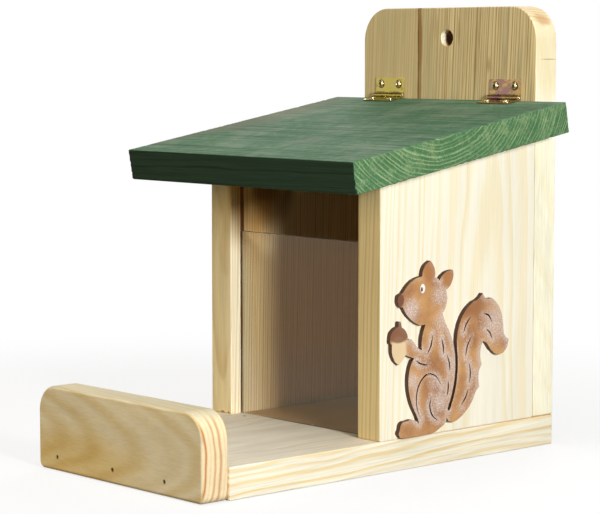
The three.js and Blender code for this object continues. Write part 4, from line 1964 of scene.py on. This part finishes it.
FIGURE_PLYWOOD = StainedPlywood(spots=(
    Spot((76, 27.5, 113), (5, 5, 8), "#a8703f", 0.4, 0.8),
    Spot((76, 43.5, 107), (5, 5.5, 5.5), "#a8703f", 0.4, 0.8),
    Spot((76, 62, 90), (5, 14, 7), "#8a5533", 0.6, 0.7, 0.8),
    Spot((76, 3.0, 68.5), (5, 6.3, 8.8), "#e9cfa6", 0.2, 0.9),
    Spot((76, 3.4, 79), (5, 8.8, 5.8), "#7d5238", 0.12, 0.9),
    Spot((76, 3.9, 97), (5, 3.4, 3.9), "#6b3f2c", 0.2, 0.9),
    Spot((76, 22, 102.5), (5, 1.9, 2.6), "#f7f4ee", 0.12),
    Spot((76, 21.3, 102), (5, 0.8, 1.3), "#15110e", 0.15),
))
LEFT_ZINC = YellowZinc(
    name="yellow_passivated_zinc", gold="#d8ca74", blush_share=0.05, spots=screw_grime(Side.LEFT),
)
RIGHT_ZINC = YellowZinc(
    name="rainbow_passivated_zinc", gold="#d8bb7c", blush="#b48f8c", blush_share=0.4,
    spots=screw_grime(Side.RIGHT),
)
SCREW_ZINC = YellowZinc(
    name="yellow_zinc_screw", gold="#d8cba4", blush_share=0.05, roughness=0.1,
    spots=recess_grime(),
)
PIN_STEEL = DrawnSteel()
# Painted shade: the nail heads are a dark brown, darker than bare steel, for the shade in their
# sunk holes.
NAIL_STEEL = DrawnSteel(name="dulled_nail_steel", colour="#6b5c48", roughness=0.5)
PANE_ACRYLIC = ClearAcrylic()
PAPER = StudioPaper()


# Studio


def direction_from(azimuth: float, elevation: float) -> Vector:
    """The direction from the feeder to a viewer.

    Args:
        azimuth: 0 in front and a quarter turn to the right, in radians.
        elevation: The viewer's height over the horizon, in radians.

    Returns:
        The direction.
    """
    return Vector((
        math.sin(azimuth) * math.cos(elevation),
        -math.cos(azimuth) * math.cos(elevation),
        math.sin(elevation),
    ))


def stood(name: str, data: bpy.types.ID, place: Vector, out: Vector) -> bpy.types.Object:
    """Stands a lamp or a camera in the scene, looking back at the feeder.

    Args:
        name: The object's name.
        data: The lamp's or the camera's data.
        place: Where it stands, in metres.
        out: The direction from the feeder to it.

    Returns:
        The object.
    """
    made = bpy.data.objects.new(name, data)
    made.location = place
    made.rotation_euler = out.to_track_quat("Z", "Y").to_euler()
    bpy.context.scene.collection.objects.link(made)
    return made


@dataclass(frozen=True)
class Lamp:
    """A soft box: where it hangs as seen from the feeder, and how brightly it lights it.

    Its angles are in degrees and its lengths in metres. A level of 1 would show white paper
    that faces the lamp as full white, at any distance.
    """

    name: str
    azimuth: float
    elevation: float
    distance: float
    size: float
    level: float
    colour: str = WHITE

    def hang(self, target: Vector) -> None:
        """Hangs the lamp and points it at a target.

        Args:
            target: The target, in metres.
        """
        data = bpy.data.lights.new(self.name, "AREA")
        data.size = self.size
        data.energy = self.level * math.pi ** 2 * self.distance ** 2
        data.color = linear(self.colour)[:3]
        out = direction_from(math.radians(self.azimuth), math.radians(self.elevation))
        stood(self.name, data, target + out * self.distance, out)


@dataclass
class Studio:
    """The paper, the lamps, the surroundings and the camera.

    The camera's angles are in radians and its lengths in mm; the floor's are in metres.
    """

    azimuth: float = 0.8369
    elevation: float = 0.0940
    distance: float = 1254.6
    target: Triple = (17.73, -18.5, 118.81)
    lens: float = 132.2
    sensor: float = 36.0
    floor_half: float = 3.0
    floor_drop: float = 0.0002
    ambient: float = 0.055
    ambient_colour: str = "#fff8ec"
    lamps: tuple[Lamp, ...] = (
        Lamp("key_box", 75, 12.2, 1.1, 0.18, 1.0),
        Lamp("top_box", 30, 78, 1.2, 0.9, 0.55),
        Lamp("front_fill", -14, 14, 1.3, 0.6, 0.26, "#ffe6bc"),
        Lamp("rear_fill", 215, 25, 1.5, 0.9, 0.42),
    )

    def build(self) -> None:
        """Sets up the studio."""
        self.paper()
        self.surroundings()
        for lamp in self.lamps:
            lamp.hang(Vector(self.target) * MM)
        self.camera()
        bpy.context.scene.view_settings.view_transform = "Standard"

    def paper(self) -> None:
        """Lays the paper just under the feeder."""
        bm = bmesh.new()
        bmesh.ops.create_grid(bm, x_segments=1, y_segments=1, size=self.floor_half)
        bmesh.ops.translate(bm, verts=bm.verts[:], vec=(0, 0, -self.floor_drop))
        floor = loose_object("studio_floor", bm)
        floor.data.materials.append(PAPER.material())

    def surroundings(self) -> None:
        """White to the camera, dimmer in mirrors, and a level of soft light to the rest."""
        world = bpy.data.worlds.new("studio")
        bpy.context.scene.world = world
        world.use_nodes = True
        tree = world.node_tree
        direct, mirror = seen_by(tree)
        height = add_node(tree, "SeparateXYZ", {
            0: add_node(tree, "TexCoord").outputs["Generated"],
        })
        above = add_node(tree, "MapRange", {
            "Value": height.outputs["Z"], "From Min": 0.12, "From Max": 0.5,
        }, interpolation_type="SMOOTHSTEP")
        room = add_node(
            tree, "Mix", {0: above, 6: MIRRORED_PAPER, 7: MIRRORED_ROOM}, data_type="RGBA",
        )
        colour = add_node(tree, "Mix", {0: mirror, 6: WHITE, 7: room}, data_type="RGBA")
        shown = add_node(tree, "Background", {"Color": colour})
        soft = add_node(tree, "Background", {
            "Color": self.ambient_colour, "Strength": self.ambient,
        })
        feed(tree.nodes["World Output"], {
            "Surface": add_node(tree, "MixShader", {0: direct, 1: soft, 2: shown}),
        })

    def camera(self) -> None:
        """Stands the camera where the photograph was taken from."""
        data = bpy.data.cameras.new("camera")
        data.lens = self.lens
        data.sensor_width = self.sensor
        out = direction_from(self.azimuth, self.elevation)
        place = (Vector(self.target) + out * self.distance) * MM
        bpy.context.scene.camera = stood("camera", data, place, out)


def main() -> None:
    """Builds the feeder's pieces in order, then the studio."""
    logging.basicConfig(level=logging.INFO, format="%(name)s %(message)s")
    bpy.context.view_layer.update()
    line = HingeLine()
    Woodwork().build()
    Roof(line).build()
    Hinges(line).build()
    Squirrel().build()
    dress("front_window", PANE_ACRYLIC)
    Studio().build()


if __name__ == "__main__":
    main()
